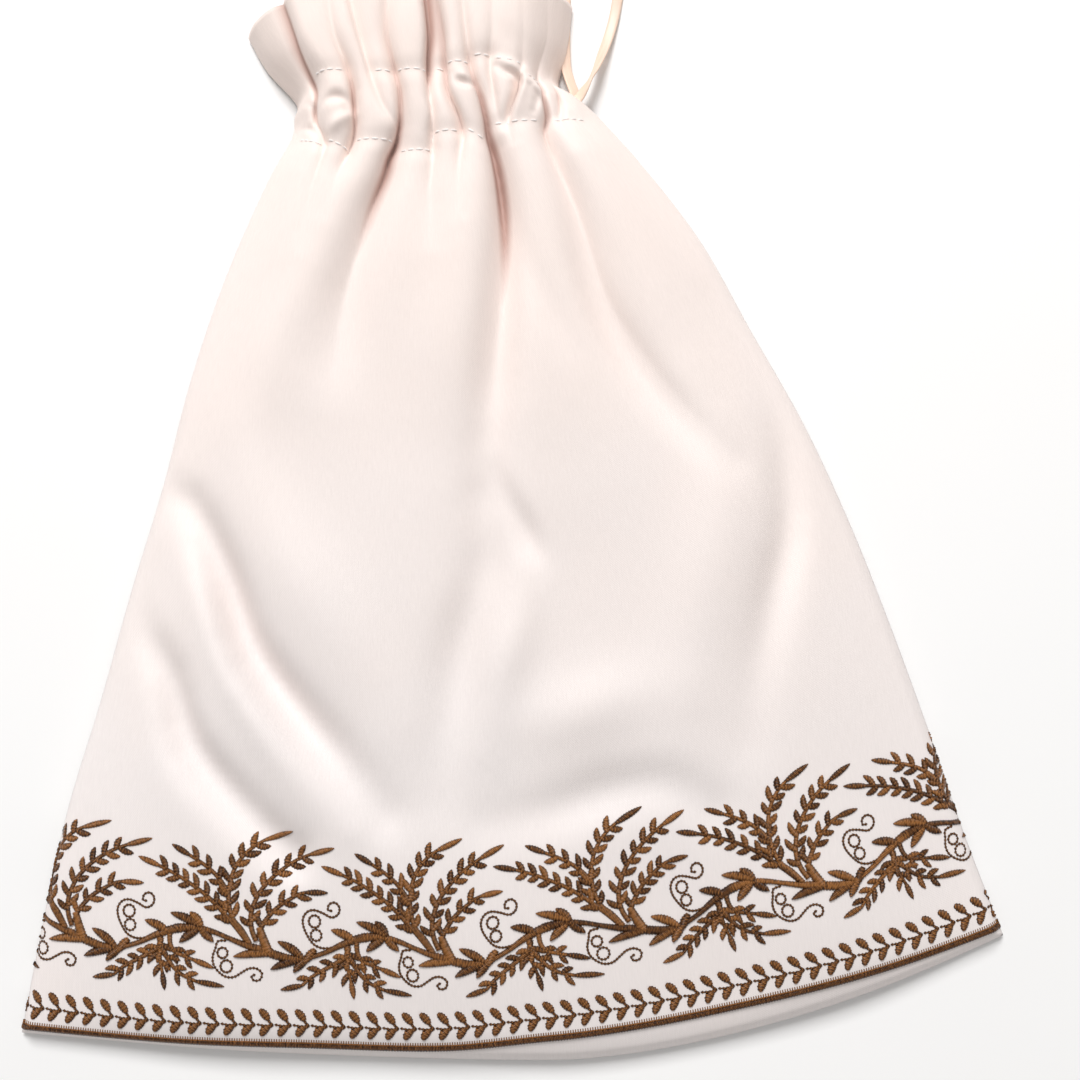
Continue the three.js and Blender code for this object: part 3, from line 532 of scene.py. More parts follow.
class Bag:
    """The bag's two faces: a place across, from 0 to 1, and a distance along give a point."""

    def __init__(self, sizes):
        self.sizes = sizes
        self.casing = sizes.body_length
        self.heading = self.casing + sizes.casing_height
        self.full = self.heading + sizes.heading_height
        start = {"body": 0, "casing": self.casing, "heading": self.heading}
        zone = {"body": sizes.body_length, "casing": sizes.casing_height, "heading": sizes.heading_height}
        widths = {
            "body": (sizes.hem_width, sizes.neck_width),
            "casing": (sizes.neck_width, sizes.casing_top_width),
            "heading": (sizes.casing_top_width, sizes.mouth_width),
        }
        self.stations = [start[row["zone"]] + row["share"] * zone[row["zone"]] for row in ROWS]
        self.columns = {
            "half_width": [
                (widths[row["zone"]][1] * (1 - row["half"]) + widths[row["zone"]][0] * row["half"]) / 2
                for row in ROWS
            ],
            "centre": [-row["lean"] * sizes.neck_lean for row in ROWS],
            "left": [row["left"] * sizes.hem_curve for row in ROWS],
            "right": [row["right"] * sizes.hem_curve for row in ROWS],
            "lowest": [row["lowest"] for row in ROWS],
            "rise": [row["body"] * sizes.body_rise + row["neck"] * sizes.neck_rise for row in ROWS],
        }
        self.body_folds = [self.fold_line(fold, sizes.fold_height) for fold in BODY_FOLDS]
        self.neck_folds = [self.fold_line(fold, sizes.crinkle_height) for fold in NECK_FOLDS]
        self.pinches = [self.pinch_line(ends) for ends in UPPER_ROW + LOWER_ROW]

    def column(self, name, along):
        return through(self.stations, self.columns[name], along)

    def plan(self, across, along):
        """Where a point of the cloth lies on the table."""
        lowest = self.column("lowest", along)
        left = self.column("left", along) * np.clip(1 - across / lowest, 0, None) ** LEFT_BEND
        right = self.column("right", along) * np.clip((across - lowest) / (1 - lowest), 0, None) ** RIGHT_BEND
        x = self.column("centre", along) + (2 * across - 1) * self.column("half_width", along)
        return x, FRONT_LOW[1] + along + left + right

    def place(self, x, y):
        """The across and along of a place on the table, found by closing in on it."""
        along = np.clip(y - FRONT_LOW[1], 0, self.full)
        across = np.full_like(x, 0.5)
        for _ in range(PLACE_ROUNDS):
            half = self.column("half_width", along)
            across = ((x - self.column("centre", along)) / half + 1) / 2
            _, reached = self.plan(across, along)
            along = np.clip(along + y - reached, -BELOW_HEM, self.full)
        return across, along

    def fold_line(self, fold, height):
        across, up = np.array(fold["path"], float).T
        x, y = self.plan(across, up * self.sizes.body_length)
        corners = np.stack([x, y], axis=1)
        spots = smooth_line(corners, distances(corners)[-1] / FOLD_STEPS)
        t = np.linspace(0, 1, len(spots))
        first = between(fold["start"], fold["middle"], smooth(2 * t))
        heights = first + (fold["end"] - fold["middle"]) * smooth(2 * t - 1)
        widths = between(fold["wide"], fold["wide_end"], t)
        return spots, heights * height, widths * self.sizes.fold_width

    def pinch_line(self, ends):
        across, up = np.array(ends, float).T
        x, y = self.plan(across, up * self.sizes.body_length)
        depth = np.full(2, -self.sizes.pinch)
        return np.stack([x, y], axis=1), depth, np.full(2, self.sizes.pinch_width)

    def creases(self, across, along):
        """How far the held creases push a point down, and sideways under a panel."""
        up = along / self.sizes.body_length
        width = 2 * self.column("half_width", along)
        down = np.zeros_like(up)
        aside = np.zeros_like(up)
        for rows in CREASES.values():
            rows = rows[::-1]
            knots = [row["up"] for row in rows]
            held = (up >= knots[0]) & (up <= knots[-1] + 1)
            at, depth, left, right, under = (
                through(knots, [row[name] for row in rows], up[held])
                for name in ("across", "depth", "left", "right", "under")
            )
            off = (across[held] - at) * width[held]
            reach = np.where(off < 0, left, right) * self.sizes.gather_reach
            away = (np.sqrt(off ** 2 + TUCK_SOFT ** 2) - TUCK_SOFT) / reach
            down[held] += np.clip(depth, 0, None) * self.sizes.gather_depth * np.exp(-away)
            aside[held] += under * self.sizes.gather_reach * np.exp(-TUCK_UNDER * away)
        return down, aside

    def front(self, across, along):
        """Points of the front cloth's outer face."""
        sizes = self.sizes
        half = self.column("half_width", along)
        from_seam = np.clip(np.minimum(across, 1 - across), 0, 1) * 2 * half
        inside = np.minimum(from_seam, np.clip(along, 0, None))
        climb = quarter_wave(from_seam / (SEAM_ROLL * 2 * half))
        dome = climb * (1 - CROWN * (2 * across - 1) ** 2)
        x, y = self.plan(across, along)
        down, aside = self.creases(across, along)
        below = smooth(FOLD_FADE - FOLD_FADE * np.clip(along / self.casing, 0, 1) + FOLD_LEFT)
        below = below * smooth(along / (2 * sizes.hem_roll))
        folds = relief(self.body_folds, x, y) * below
        folds += relief(self.neck_folds, x, y) + relief(self.pinches, x, y)
        hem = sizes.hem_puff * quarter_wave(along / sizes.hem_roll)
        slit = SLIT_ROOM * (sizes.seam_lift + sizes.cloth) * smooth((across - SLIT_START) / (1 - SLIT_START))
        slit *= smooth(1 - abs(along - self.casing - sizes.casing_height / 2) / sizes.casing_height)
        uneven = UNEVEN * sum(
            np.sin(a * x * UNEVEN_TURN + b * y * UNEVEN_TURN + start) for a, b, start in UNEVEN_WAVES
        )
        edge = sizes.seam_lift + sizes.cloth + (sizes.cloth - LIP_THIN) * quarter_wave(inside / sizes.lip)
        edge += sizes.seam_fill * quarter_wave(inside / sizes.edge_roll) - sizes.cloth
        z = edge + slit + (self.column("rise", along) + hem) * dome + (folds - down + uneven) * climb
        return np.stack([x + aside * climb, y, z], axis=-1)

    def hollow(self, across, along):
        """How deep in the held creases a point of the front cloth lies, from 0 to 1; it sets the satin's
        painted crease shade.
        """
        down, _ = self.creases(across, along)
        return np.clip(down / self.sizes.gather_depth, 0, 1)

    def back(self, across, along):
        """Points of the back cloth's outer face, which lies on the table."""
        sizes = self.sizes
        half = self.column("half_width", along)
        from_seam = np.clip(np.minimum(across, 1 - across), 0, 1) * 2 * half
        lie = quarter_wave(from_seam / sizes.back_roll) * quarter_wave(along / (sizes.hem_roll / 2))
        hold = smooth(1 - (self.casing - along) / sizes.gather_length)
        tucks = np.zeros_like(half)
        for tuck in BACK_TUCKS:
            away = abs(across - tuck["across"]) * 2 * half / (tuck["wide"] * sizes.gather_reach)
            tucks += tuck["depth"] * sizes.gather_depth * np.exp(-away)
        x, y = self.plan(across, along)
        inset = 1 - sizes.lip / half
        x = self.column("centre", along) + (x - self.column("centre", along)) * inset
        y = y + sizes.lip * smooth(1 - along / sizes.hem_roll)
        z = sizes.seam_lift * (1 - lie) + sizes.back_gap * lie + tucks * hold * lie
        return np.stack([x, y, z], axis=-1)

    def face(self, side):
        return self.front if side == "front" else self.back

    def standing(self, side, across, along):
        """Points of a face, and the direction straight out of it at each."""
        across, along = np.asarray(across, float), np.asarray(along, float)
        face = self.face(side)
        point = face(across, along)
        right = face(across + PROBE / (2 * self.column("half_width", along)), along) - point
        up = face(across, along + PROBE) - point
        out = np.cross(right, up) * (1 if side == "front" else -1)
        return point, out / np.linalg.norm(out, axis=-1, keepdims=True)


# Meshes

def deselect():
    if bpy.context.object and bpy.context.object.mode != "OBJECT":
        bpy.ops.object.mode_set(mode="OBJECT")
    bpy.ops.object.select_all(action="DESELECT")


def edit(operator, **settings):
    """Runs one mesh operator on the whole of the active piece."""
    bpy.ops.object.mode_set(mode="EDIT")
    bpy.ops.mesh.select_all(action="SELECT")
    operator(**settings)
    bpy.ops.object.mode_set(mode="OBJECT")


def give_values(mesh, name, values):
    """One named number for each point of a mesh."""
    mesh.attributes.new(name, "FLOAT", "POINT").data.foreach_set("value", np.asarray(values, float))


def give_uv(mesh, layer, uv):
    """Each point's place on the flat cloth or thread."""
    corners = np.zeros(len(mesh.loops), dtype=int)
    mesh.loops.foreach_get("vertex_index", corners)
    layer.data.foreach_set("uv", np.asarray(uv, float)[corners].ravel())


def finish_piece(piece, material, replaced=()):
    """Gives a finished piece its material and the body that it rides on."""
    piece.data.materials.clear()
    piece.data.materials.append(material)
    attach(piece, "root")
    if replaced:
        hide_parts(*replaced)
    return piece


def make_mesh(name, points, faces, uv=None, shade=None):
    """A new piece from points and faces, with its UV map and each point's own shade."""
    mesh = bpy.data.meshes.new(name)
    mesh.from_pydata(points.tolist(), [], faces)
    if uv is not None:
        give_uv(mesh, mesh.uv_layers.new(name="UVMap"), uv)
    if shade is not None:
        give_values(mesh, "shade", shade)
    piece = bpy.data.objects.new(name, mesh)
    bpy.context.scene.collection.objects.link(piece)
    deselect()
    piece.select_set(True)
    bpy.context.view_layer.objects.active = piece
    bpy.ops.object.shade_smooth()
    return piece


# Where each zone of the cloth's rows ends, as millimetres past a mark, and its rows' pitch.
CLOTH_ZONES = [
    ("hem", 4, 0.5), ("hem", 12, 1.2), ("casing", -42, 2.2), ("casing", -6, 1.0), ("heading", 5, 0.52),
    ("full", 0, 1.0),
]
CLOTH_COLUMNS = 236
EDGE_CROWDING = 0.45           # how much closer the columns are at the seams


def cloth_stations(bag):
    """Rows of cells along the cloth: close at the bottom fold, in the casing and just below it."""
    low = 0.0
    stations = [low]
    for base, past, step in CLOTH_ZONES:
        high = {"hem": 0.0, "casing": bag.casing, "heading": bag.heading, "full": bag.full}[base] + past * MM
        count = int(round((high - low) / (step * MM)))
        stations += list(np.linspace(low, high, count + 1)[1:])
        low = high
    return np.array(stations)


def make_cloth(bag, side):
    """One face of the bag: a grid laid on the bag's surface, then given its thickness."""
    sizes = bag.sizes
    stations = cloth_stations(bag)
    rows = len(stations) - 1
    deselect()
    bpy.ops.mesh.primitive_grid_add(
        x_subdivisions=CLOTH_COLUMNS, y_subdivisions=rows, size=1, location=(0, 0, 0),
    )
    piece = bpy.context.object
    piece.name = piece.data.name = f"{side}_cloth"
    mesh = piece.data
    flat = np.zeros(len(mesh.vertices) * 3)
    mesh.vertices.foreach_get("co", flat)
    flat = flat.reshape(-1, 3)
    t = flat[:, 0] + 0.5
    across = t - EDGE_CROWDING * np.sin(2 * math.pi * t) / (2 * math.pi)
    along = stations[np.rint((flat[:, 1] + 0.5) * rows).astype(int)]
    mesh.vertices.foreach_set("co", bag.face(side)(across, along).ravel())
    cut = sizes.hem_width + (sizes.cut_top_width - sizes.hem_width) * along / bag.full
    give_uv(mesh, mesh.uv_layers[0], np.stack([0.5 + (across - 0.5) * cut, along], axis=1))
    # The front's crease depth, which paints shade into the satin down in the creases.
    give_values(mesh, "hollow", bag.hollow(across, along) if side == "front" else np.zeros_like(across))
    mesh.update()
    if side == "back":
        edit(bpy.ops.mesh.flip_normals)
    bpy.ops.object.shade_smooth()
    wall = piece.modifiers.new("Wall", "SOLIDIFY")
    wall.thickness = sizes.cloth
    wall.offset = -1
    bpy.ops.object.modifier_apply(modifier=wall.name)
    return piece


OVER_EDGE = 0.2 * MM           # thread is laid at least this far up from the bottom edge
THREAD_OVER_TABLE = 0.02 * MM


class Threadwork:
    """Satin stitch in strips, charted along a line near the hem and laid on one face as one mesh."""

    # Each strip's five points across: how far out, how high, and how near its rim, where shade is painted.
    columns = np.array([-1, -0.62, 0, 0.62, 1])
    heights = np.array([-0.12, 0.74, 1, 0.74, -0.12])
    edges = np.array([1.3, 0.5, 0, 0.5, 1.3])
    rim_shade = 0.9                # how much darker the rim is painted, as shade
    ragged = 0.12                  # how far every other thread reaches past its neighbour
    uneven = 0.1                   # how much higher it lies
    narrowest = 0.12               # a strip's least share of its width
    low, full_width = 0.35, 0.45   # how high a hair-thin strip lies, and the leaf widths of a full one
    back_height = 0.8              # the back's threads are pressed down this much
    shade_step = 0.618034          # each strip's own tone, partly random, partly painted highlight, is this far from the last one's
    bend_room = 28 * MM            # the brown line's direction is taken over this much to either side
    seam_share = 0.002             # how close to a seam, across, a strip is still laid
    past_seam = 0.004              # and how far past it a face may reach before it is cut
    line_steps = 220

    def __init__(self, bag, threads, side):
        self.bag = bag
        self.threads = threads
        self.side = side
        self.height = threads.relief * (1 if side == "front" else self.back_height)
        self.shade = 0.0
        self.plans, self.lifts, self.uvs, self.shades, self.faces = [], [], [], [], []
        self.count = 0
        across = np.linspace(0, 1, self.line_steps)
        above = through([r["across"] for r in LINE_ROWS], [r[side] * MM for r in LINE_ROWS], across)
        line = np.stack(bag.plan(across, above), axis=1)
        self.run = distances(line)
        self.line = line

    def chart(self, path):
        """Charted millimetres along the brown line and above it, as places on the table."""
        path = np.asarray(path, float) * MM
        end = self.run[-1]
        spot = np.stack([self.on_line(path[:, 0], k) for k in (0, 1)], axis=1)
        before = np.clip(path[:, 0] - self.bend_room, 0, end - 2 * self.bend_room)
        after = before + 2 * self.bend_room
        way = np.stack([self.on_line(after, k) - self.on_line(before, k) for k in (0, 1)], axis=1)
        way /= np.linalg.norm(way, axis=1, keepdims=True)
        return spot + path[:, 1:] * np.stack([-way[:, 1], way[:, 0]], axis=1)

    def on_line(self, run, k):
        """One coordinate of the brown line, run on straight past both its ends."""
        slopes = np.gradient(self.line[:, k], self.run)
        inside = np.interp(run, self.run, self.line[:, k])
        return inside + np.minimum(run, 0) * slopes[0] + np.clip(run - self.run[-1], 0, None) * slopes[-1]

    def strip(self, path, width, profile, height=1.0, pitch=None, shade=None):
        """One strip of satin stitch along a charted path. profile(t) gives its width's share."""
        line = smooth_line(self.chart(path), pitch or self.threads.thread_pitch)
        rows = len(line)
        t = np.linspace(0, 1, rows)
        every_other = (-1) ** np.arange(rows)
        half = width / 2 * np.maximum(profile(t), self.narrowest) * (1 + self.ragged * every_other)
        way = directions(line)
        normal = np.stack([-way[:, 1], way[:, 0]], axis=1)
        spread = self.columns[None, :] * half[:, None]
        spots = line[:, None, :] + normal[:, None, :] * spread[:, :, None]
        full = np.minimum(1, self.low + half / (self.full_width * self.threads.leaf_width))
        row_height = height * self.height * full * (1 + self.uneven * every_other)
        lift = self.heights[None, :] * row_height[:, None]
        self.plans.append(spots.reshape(-1, 2))
        self.lifts.append(lift.ravel())
        wide = len(self.columns)
        run = np.repeat(distances(line), wide)
        self.uvs.append(np.stack([run, spread.ravel() + 0.5], axis=1))
        self.shade = (self.shade + self.shade_step) % 1
        own = self.shade if shade is None else shade
        # Each point's shade: the strip's own tone, less painted shade towards its rim.
        self.shades.append(np.tile(own - self.rim_shade * self.edges, rows))
        first = self.count
        for row in range(rows - 1):
            a = first + wide * row
            b = a + wide
            for k in range(wide - 1):
                self.faces.append((a + k, b + k, b + k + 1, a + k + 1))
            self.faces.append((b - 1, b + wide - 1, b, a))
        self.faces.append(tuple(range(first, first + wide)))
        last = first + wide * (rows - 1)
        self.faces.append(tuple(range(last + wide - 1, last - 1, -1)))
        self.count += rows * wide

    def make(self, name):
        """Lays the strips on the face, cut off at the seams, and makes the mesh."""
        plan = np.concatenate(self.plans)
        across, along = self.bag.place(plan[:, 0], plan[:, 1])
        inside = (across > 0) & (across < 1) & (along > 0)
        held = np.clip(across, self.seam_share, 1 - self.seam_share)
        points = self.bag.face(self.side)(held, np.clip(along, OVER_EDGE, None))
        keep = inside | ((across > -self.past_seam) & (across < 1 + self.past_seam))
        points[inside, :2] = plan[inside]
        lift = np.concatenate(self.lifts) * (1 if self.side == "front" else -1)
        points[:, 2] = np.maximum(points[:, 2] + np.where(inside, lift, 0), THREAD_OVER_TABLE)
        faces = [face for face in self.faces if keep[list(face)].all() and inside[list(face)].any()]
        if self.side == "back":
            faces = [face[::-1] for face in faces]
        used = np.unique(np.concatenate([np.array(face) for face in faces]))
        renumber = np.zeros(len(points), dtype=int)
        renumber[used] = np.arange(len(used))
        faces = [tuple(int(renumber[v]) for v in face) for face in faces]
        uv, shade = np.concatenate(self.uvs), np.concatenate(self.shades)
        return make_mesh(name, points[used], faces, uv[used], shade[used])


def leaf_profile(t):
    return np.sin(math.pi * (0.12 + 0.88 * np.clip(t, 0, 1)) ** 1.05) ** 0.62


def bud_profile(t):
    return np.sin(math.pi * (0.08 + 0.88 * t)) ** 0.45


def stem_profile(t):
    return np.minimum(1, np.minimum(t, 1 - t) * 12 + 0.5)


def scroll_profile(t):
    """Thick at the crests and in the trough, thin between them."""
    return 0.85 + 0.25 * np.cos(4 * math.pi * t)


def taper_profile(t):
    return 1 - 0.4 * t


# Strips' heights, as shares of the threads' relief, and some of their widths.
STEM_HEIGHT, TRUNK_HEIGHT, BIG_LEAF_HEIGHT = 1.25, 1.35, 1.4
FROND_HEIGHT, LEAFLET_HEIGHT, TIP_HEIGHT = 0.95, 1.05, 1.1
BEAD_HEIGHT, SPRIG_STEM_HEIGHT, LINE_HEIGHT, SEAM_HEIGHT, EDGE_STITCH_HEIGHT = 0.75, 0.7, 1.7, 1.0, 0.6
TRUNK_WIDTH = 1.4              # share of the stem's width
FROND_WIDTH = 0.68             # the same, for a frond's own stem
TIP_WIDTH = 0.95               # share of a leaflet's width
BEAD_WIDTH, BEAD_LENGTH = 0.78 * MM, 0.85 * MM
BUD_WIDTH, SPRIG_STEM_WIDTH = 2.2 * MM, 0.75 * MM
SEAM_WIDTH, EDGE_STITCH_WIDTH = 0.45 * MM, 0.3 * MM
SPRIG_START = 1.2              # the first sprig's fork, in millimetres along the line
# Charted in millimetres from the line: one fine stitch above it.
EDGE_STITCH = np.array([(0, 0.4), (0.03, 0.9), (0.06, 1.35)])
BEAD_STEP = 0.6                # a bead row's pitch of points, share of the threads'
LEAF_TURN, LEAF_TURN_LOST = 44, 8  # degrees between a frond and its first leaflets, and lost to its tip
LEAF_STAGGER = 0.3             # the second leaflet of a pair sits this share of a pitch further on
LEAF_BOW, BIG_LEAF_BOW = 0.07, 0.04  # how far a leaf's middle is bent aside, share of its length
LEAF_BELLY = 0.55              # how far up a leaflet that is
LEAF_VARY = 0.1                # how much a leaflet's length varies
FROND_STEP = 0.2               # millimetres between the places where leaflets may start
RING_POINTS, LINE_POINTS = 15, 60


def sew_scroll(work, troughs, number):
    """One repeat of the fern scroll, fitted between the troughs on both its sides."""
    threads = work.threads
    along, above = np.array(troughs).T
    last = len(troughs) - 1

    def here(path):
        path = np.asarray(path, float)
        at = number + path[:, 0] / SCROLL_REPEAT
        beyond = np.minimum(at, 0) + np.maximum(at - last, 0)
        run = np.interp(at, range(last + 1), along) + beyond * SCROLL_REPEAT
        return np.stack([run, path[:, 1] + np.interp(at, range(last + 1), above) - MOTIF_HEIGHT], axis=1)

    for tendril in TENDRILS:
        sew_beads(work, here(tendril))
    turn = np.linspace(0, 2 * math.pi, RING_POINTS)
    for ring in TENDRIL_RINGS:
        along_ring = ring["along"] + ring["radius"] * np.cos(turn)
        above_ring = ring["above"] + ring["radius"] * np.sin(turn)
        sew_beads(work, here(np.stack([along_ring, above_ring], axis=1)))
    for frond in FRONDS:
        sew_frond(work, here(frond["path"]), frond["bare"], frond["leaf"])
    work.strip(here(SCROLL_STEM), threads.stem_width, scroll_profile, STEM_HEIGHT)
    # The trunk's strip takes the lightest tone: a painted highlight on it.
    work.strip(here(TRUNK), TRUNK_WIDTH * threads.stem_width, taper_profile, TRUNK_HEIGHT, shade=1.0)
    for base, tip in BIG_LEAVES:
        base, tip = np.array(base), np.array(tip)
        middle = (base + tip) / 2 + BIG_LEAF_BOW * (tip - base)[::-1] * (1, -1)
        work.strip(here([base, middle, tip]), threads.big_leaf_width, leaf_profile, BIG_LEAF_HEIGHT)


def sew_repeats(work):
    """The whole fern scroll of one face."""
    troughs = FRONT_TROUGHS if work.side == "front" else BACK_TROUGHS
    for number in range(len(troughs)):
        sew_scroll(work, troughs, number)


def sew_frond(work, path, bare, scale):
    """A tapering stem with leaflets in pairs along it and a longer leaf at its tip."""
    threads = work.threads
    stem = path[:-1]
    work.strip(stem, FROND_WIDTH * threads.stem_width, taper_profile, FROND_HEIGHT)
    long = threads.leaf_length / MM * scale
    line = smooth_line(stem, FROND_STEP)
    run = distances(line)
    ways = directions(line)
    pairs = max(1, round((run[-1] - bare) * MM / (threads.leaf_pitch * scale)))
    for k in range(pairs):
        for hand in (1, -1):
            at = bare + (k + (0 if hand > 0 else LEAF_STAGGER)) * (run[-1] - bare) / pairs
            spot = min(int(np.searchsorted(run, at)), len(line) - 1)
            turn = hand * math.radians(LEAF_TURN - LEAF_TURN_LOST * k / pairs)
            spin = np.array([[math.cos(turn), -math.sin(turn)], [math.sin(turn), math.cos(turn)]])
            out = spin @ ways[spot]
            base = line[spot]
            size = long * (1 + LEAF_VARY * math.sin(7.3 * k + 2.1 * hand + base[0]))
            bow = LEAF_BOW * size * hand * np.array([-out[1], out[0]])
            leaf = [base, base + LEAF_BELLY * out * size + bow, base + out * size]
            work.strip(leaf, threads.leaf_width * scale, leaf_profile, LEAFLET_HEIGHT)
    tip = [path[-2], (path[-2] + path[-1]) / 2, path[-1]]
    work.strip(tip, TIP_WIDTH * threads.leaf_width, leaf_profile, TIP_HEIGHT)


def sew_beads(work, path):
    """A fine line of single stitches, thicker in each stitch than between them."""
    stitches = max(3, round(distances(np.asarray(path) * MM)[-1] / BEAD_LENGTH))
    work.strip(
        path, BEAD_WIDTH, lambda t: 0.3 + 0.7 * np.abs(np.sin(math.pi * stitches * t)), BEAD_HEIGHT,
        pitch=BEAD_STEP * work.threads.thread_pitch, shade=0.15,
    )


def sew_sprigs(work):
    """The small row of sprigs between the scroll and the brown line."""
    step = work.threads.sprig_pitch / MM
    for k in range(int(work.run[-1] / MM / step) + 2):
        fork = np.array([SPRIG_START + k * step, 0])
        for leaf in SPRIG_LEAVES:
            work.strip(fork + leaf, BUD_WIDTH, bud_profile, shade=0.6)
        for stem in SPRIG_STEMS:
            work.strip(fork + stem, SPRIG_STEM_WIDTH, stem_profile, SPRIG_STEM_HEIGHT, shade=0.2)
        sew_beads(work, fork + np.array(SPRIG_VEIN))


def sew_line(work):
    """The rolled satin-stitch cord along the hem, and the fine row of stitches over it."""
    ends = np.linspace(-1, work.run[-1] / MM + 1, LINE_POINTS)
    for above, width, height, shade in (
        (-0.3, work.threads.line_width, LINE_HEIGHT, 0.0), (0.45, SEAM_WIDTH, SEAM_HEIGHT, 1.0),
    ):
        path = np.stack([ends, np.full_like(ends, above)], axis=1)
        work.strip(path, width, np.ones_like, height, shade=shade)
    for at in np.arange(-0.5, work.run[-1] / MM, work.threads.edge_pitch / MM):
        work.strip(EDGE_STITCH + (at, 0), EDGE_STITCH_WIDTH, np.ones_like, EDGE_STITCH_HEIGHT, shade=0.75)


def sew_border(bag, threads, side, material):
    """The whole embroidery of one face: scroll, sprigs and brown line."""
    for name, sew in (("fern_scroll", sew_repeats), ("sprig_row", sew_sprigs), ("hem_line", sew_line)):
        work = Threadwork(bag, threads, side)
        sew(work)
        finish_piece(work.make(f"{side}_{name}"), material)


ROW_STEPS = 160
STITCH_SQUARE = 0.6            # below 1, a stitch's ends are blunter
STITCH_DIP = 0.7               # how far its ends dip into the cloth, share of its width
STITCH_SEAT = 0.22             # how far its middle stands over the cloth, share of its width
BACK_ROW_ENDS = (0.02, 0.98)   # the back's rows run from here to here across


def make_stitches(bag, threads):
    """The casing's two rows of machine stitches, on both faces: one stitch, copied."""
    deselect()
    bpy.ops.mesh.primitive_uv_sphere_add(segments=10, ring_count=6, radius=0.5)
    pattern = bpy.context.object
    size = (threads.stitch_length, threads.stitch_width, threads.stitch_width / 2)
    edit(bpy.ops.transform.resize, value=size)
    shape = np.array([vertex.co for vertex in pattern.data.vertices])
    square = np.sign(shape[:, 0]) * np.abs(2 * shape[:, 0] / threads.stitch_length) ** STITCH_SQUARE
    shape[:, 0] = square * threads.stitch_length / 2
    shape[:, 2] -= STITCH_DIP * threads.stitch_width * np.abs(square) ** 3
    sides = [tuple(face.vertices) for face in pattern.data.polygons]
    bpy.data.objects.remove(pattern, do_unlink=True)
    runs = [("front", ends) for ends in UPPER_ROW + LOWER_ROW]
    runs += [("back", [(end, up) for end in BACK_ROW_ENDS]) for up in (1.0, bag.heading / bag.casing)]
    points, faces = [], []
    for side, ends in runs:
        across, up = np.array(ends, float).T
        fine = np.linspace(0, 1, ROW_STEPS)
        line, out = bag.standing(side, between(*across, fine), between(*up, fine) * bag.sizes.body_length)
        run = distances(line)
        count = max(1, int(round(run[-1] / threads.stitch_pitch)))
        for k in range(count):
            middle = (k + 0.5) * run[-1] / count
            near = read(run, line, middle - threads.stitch_length / 2)
            far = read(run, line, middle + threads.stitch_length / 2)
            normal = read(run, out, middle)
            way = (far - near) / np.linalg.norm(far - near)
            normal -= way * (normal @ way)
            normal /= np.linalg.norm(normal)
            beside = np.cross(normal, way)
            first = len(points) * len(shape)
            seat = read(run, line, middle) + normal * STITCH_SEAT * threads.stitch_width
            points.append(seat + shape @ np.stack([way, beside, normal]))
            faces += [tuple(first + v for v in face) for face in sides]
    return make_mesh("casing_stitches", np.concatenate(points), faces)


RIBBON_OVER_TABLE = 0.08 * MM
RIBBON_LOWEST = 0.03 * MM      # and no point of it is lower than this
RIBBON_SIDES = 16
RIBBON_FLAT, RIBBON_TALL = 0.8, 0.7  # below 1, its section is squarer that way
FLUTE_DEPTH, FLUTE_REACH = 0.16, 0.3  # the dent along its middle, shares of its thickness and width


def ribbon_path(bag, ribbon):
    """The middle of the ribbon along its route, and how far it is rolled there."""
    x, y = bag.plan(np.array([1.0]), np.array([bag.casing + bag.sizes.casing_height / 2]))
    on_table = ribbon.thickness / 2 + RIBBON_OVER_TABLE
    points = []
    for k, row in enumerate(RIBBON_ROUTE):
        strand = (1 if k <= UPPER_STRAND else -1) * (ribbon.thickness + ribbon.strand_gap) / 2
        height = on_table + row["up"] * (ribbon.slit_height + strand - on_table)
        points.append((x[0] + row["x"] * MM, y[0] + row["y"] * MM, height, row["roll"] * MM))
    corners = np.array(points)
    knots = distances(corners[:, :3])
    fine = np.linspace(0, knots[-1], ribbon.rings)
    line = np.stack([through(knots, column, fine) for column in corners.T], axis=1)
    return line[:, :3], np.radians(line[:, 3] / MM)


def make_ribbon(bag, ribbon):
    """The drawstring: a narrow folded satin ribbon, swept along its route."""
    line, roll = ribbon_path(bag, ribbon)
    way = directions(line)
    level = np.cross(way, (0, 0, 1))
    level /= np.linalg.norm(level, axis=1, keepdims=True)
    above = np.cross(level, way)
    broad = level * np.cos(roll)[:, None] + above * np.sin(roll)[:, None]
    thin = np.cross(broad, way)
    sides = RIBBON_SIDES
    turn = 2 * math.pi * np.arange(sides) / sides
    flat = np.sign(np.cos(turn)) * np.abs(np.cos(turn)) ** RIBBON_FLAT * ribbon.width / 2
    tall = np.sign(np.sin(turn)) * np.abs(np.sin(turn)) ** RIBBON_TALL * ribbon.thickness / 2
    flute = 1 - FLUTE_DEPTH * np.exp(-((flat / (FLUTE_REACH * ribbon.width)) ** 2))
    rings = line[:, None, :] + broad[:, None, :] * flat[None, :, None]
    rings = rings + thin[:, None, :] * (tall * flute)[None, :, None]
    rings[:, :, 2] = np.maximum(rings[:, :, 2], RIBBON_LOWEST)
    run = distances(line)
    around = np.linspace(0, 1, sides, endpoint=False) * 2 * ribbon.width
    uv = np.stack([np.repeat(run, sides), np.tile(around, len(run))], axis=1)
    faces = []
    for k in range(len(line) - 1):
        for i in range(sides):
            a, b = k * sides + i, k * sides + (i + 1) % sides
            faces.append((a, a + sides, b + sides, b))
    faces.append(tuple(range(sides)))
    faces.append(tuple(range(len(line) * sides - 1, (len(line) - 1) * sides - 1, -1)))
    piece = make_mesh("ribbon_drawstring", rings.reshape(-1, 3), faces, uv)
    edit(bpy.ops.mesh.normals_make_consistent, inside=False)
    return piece, line


# Materials

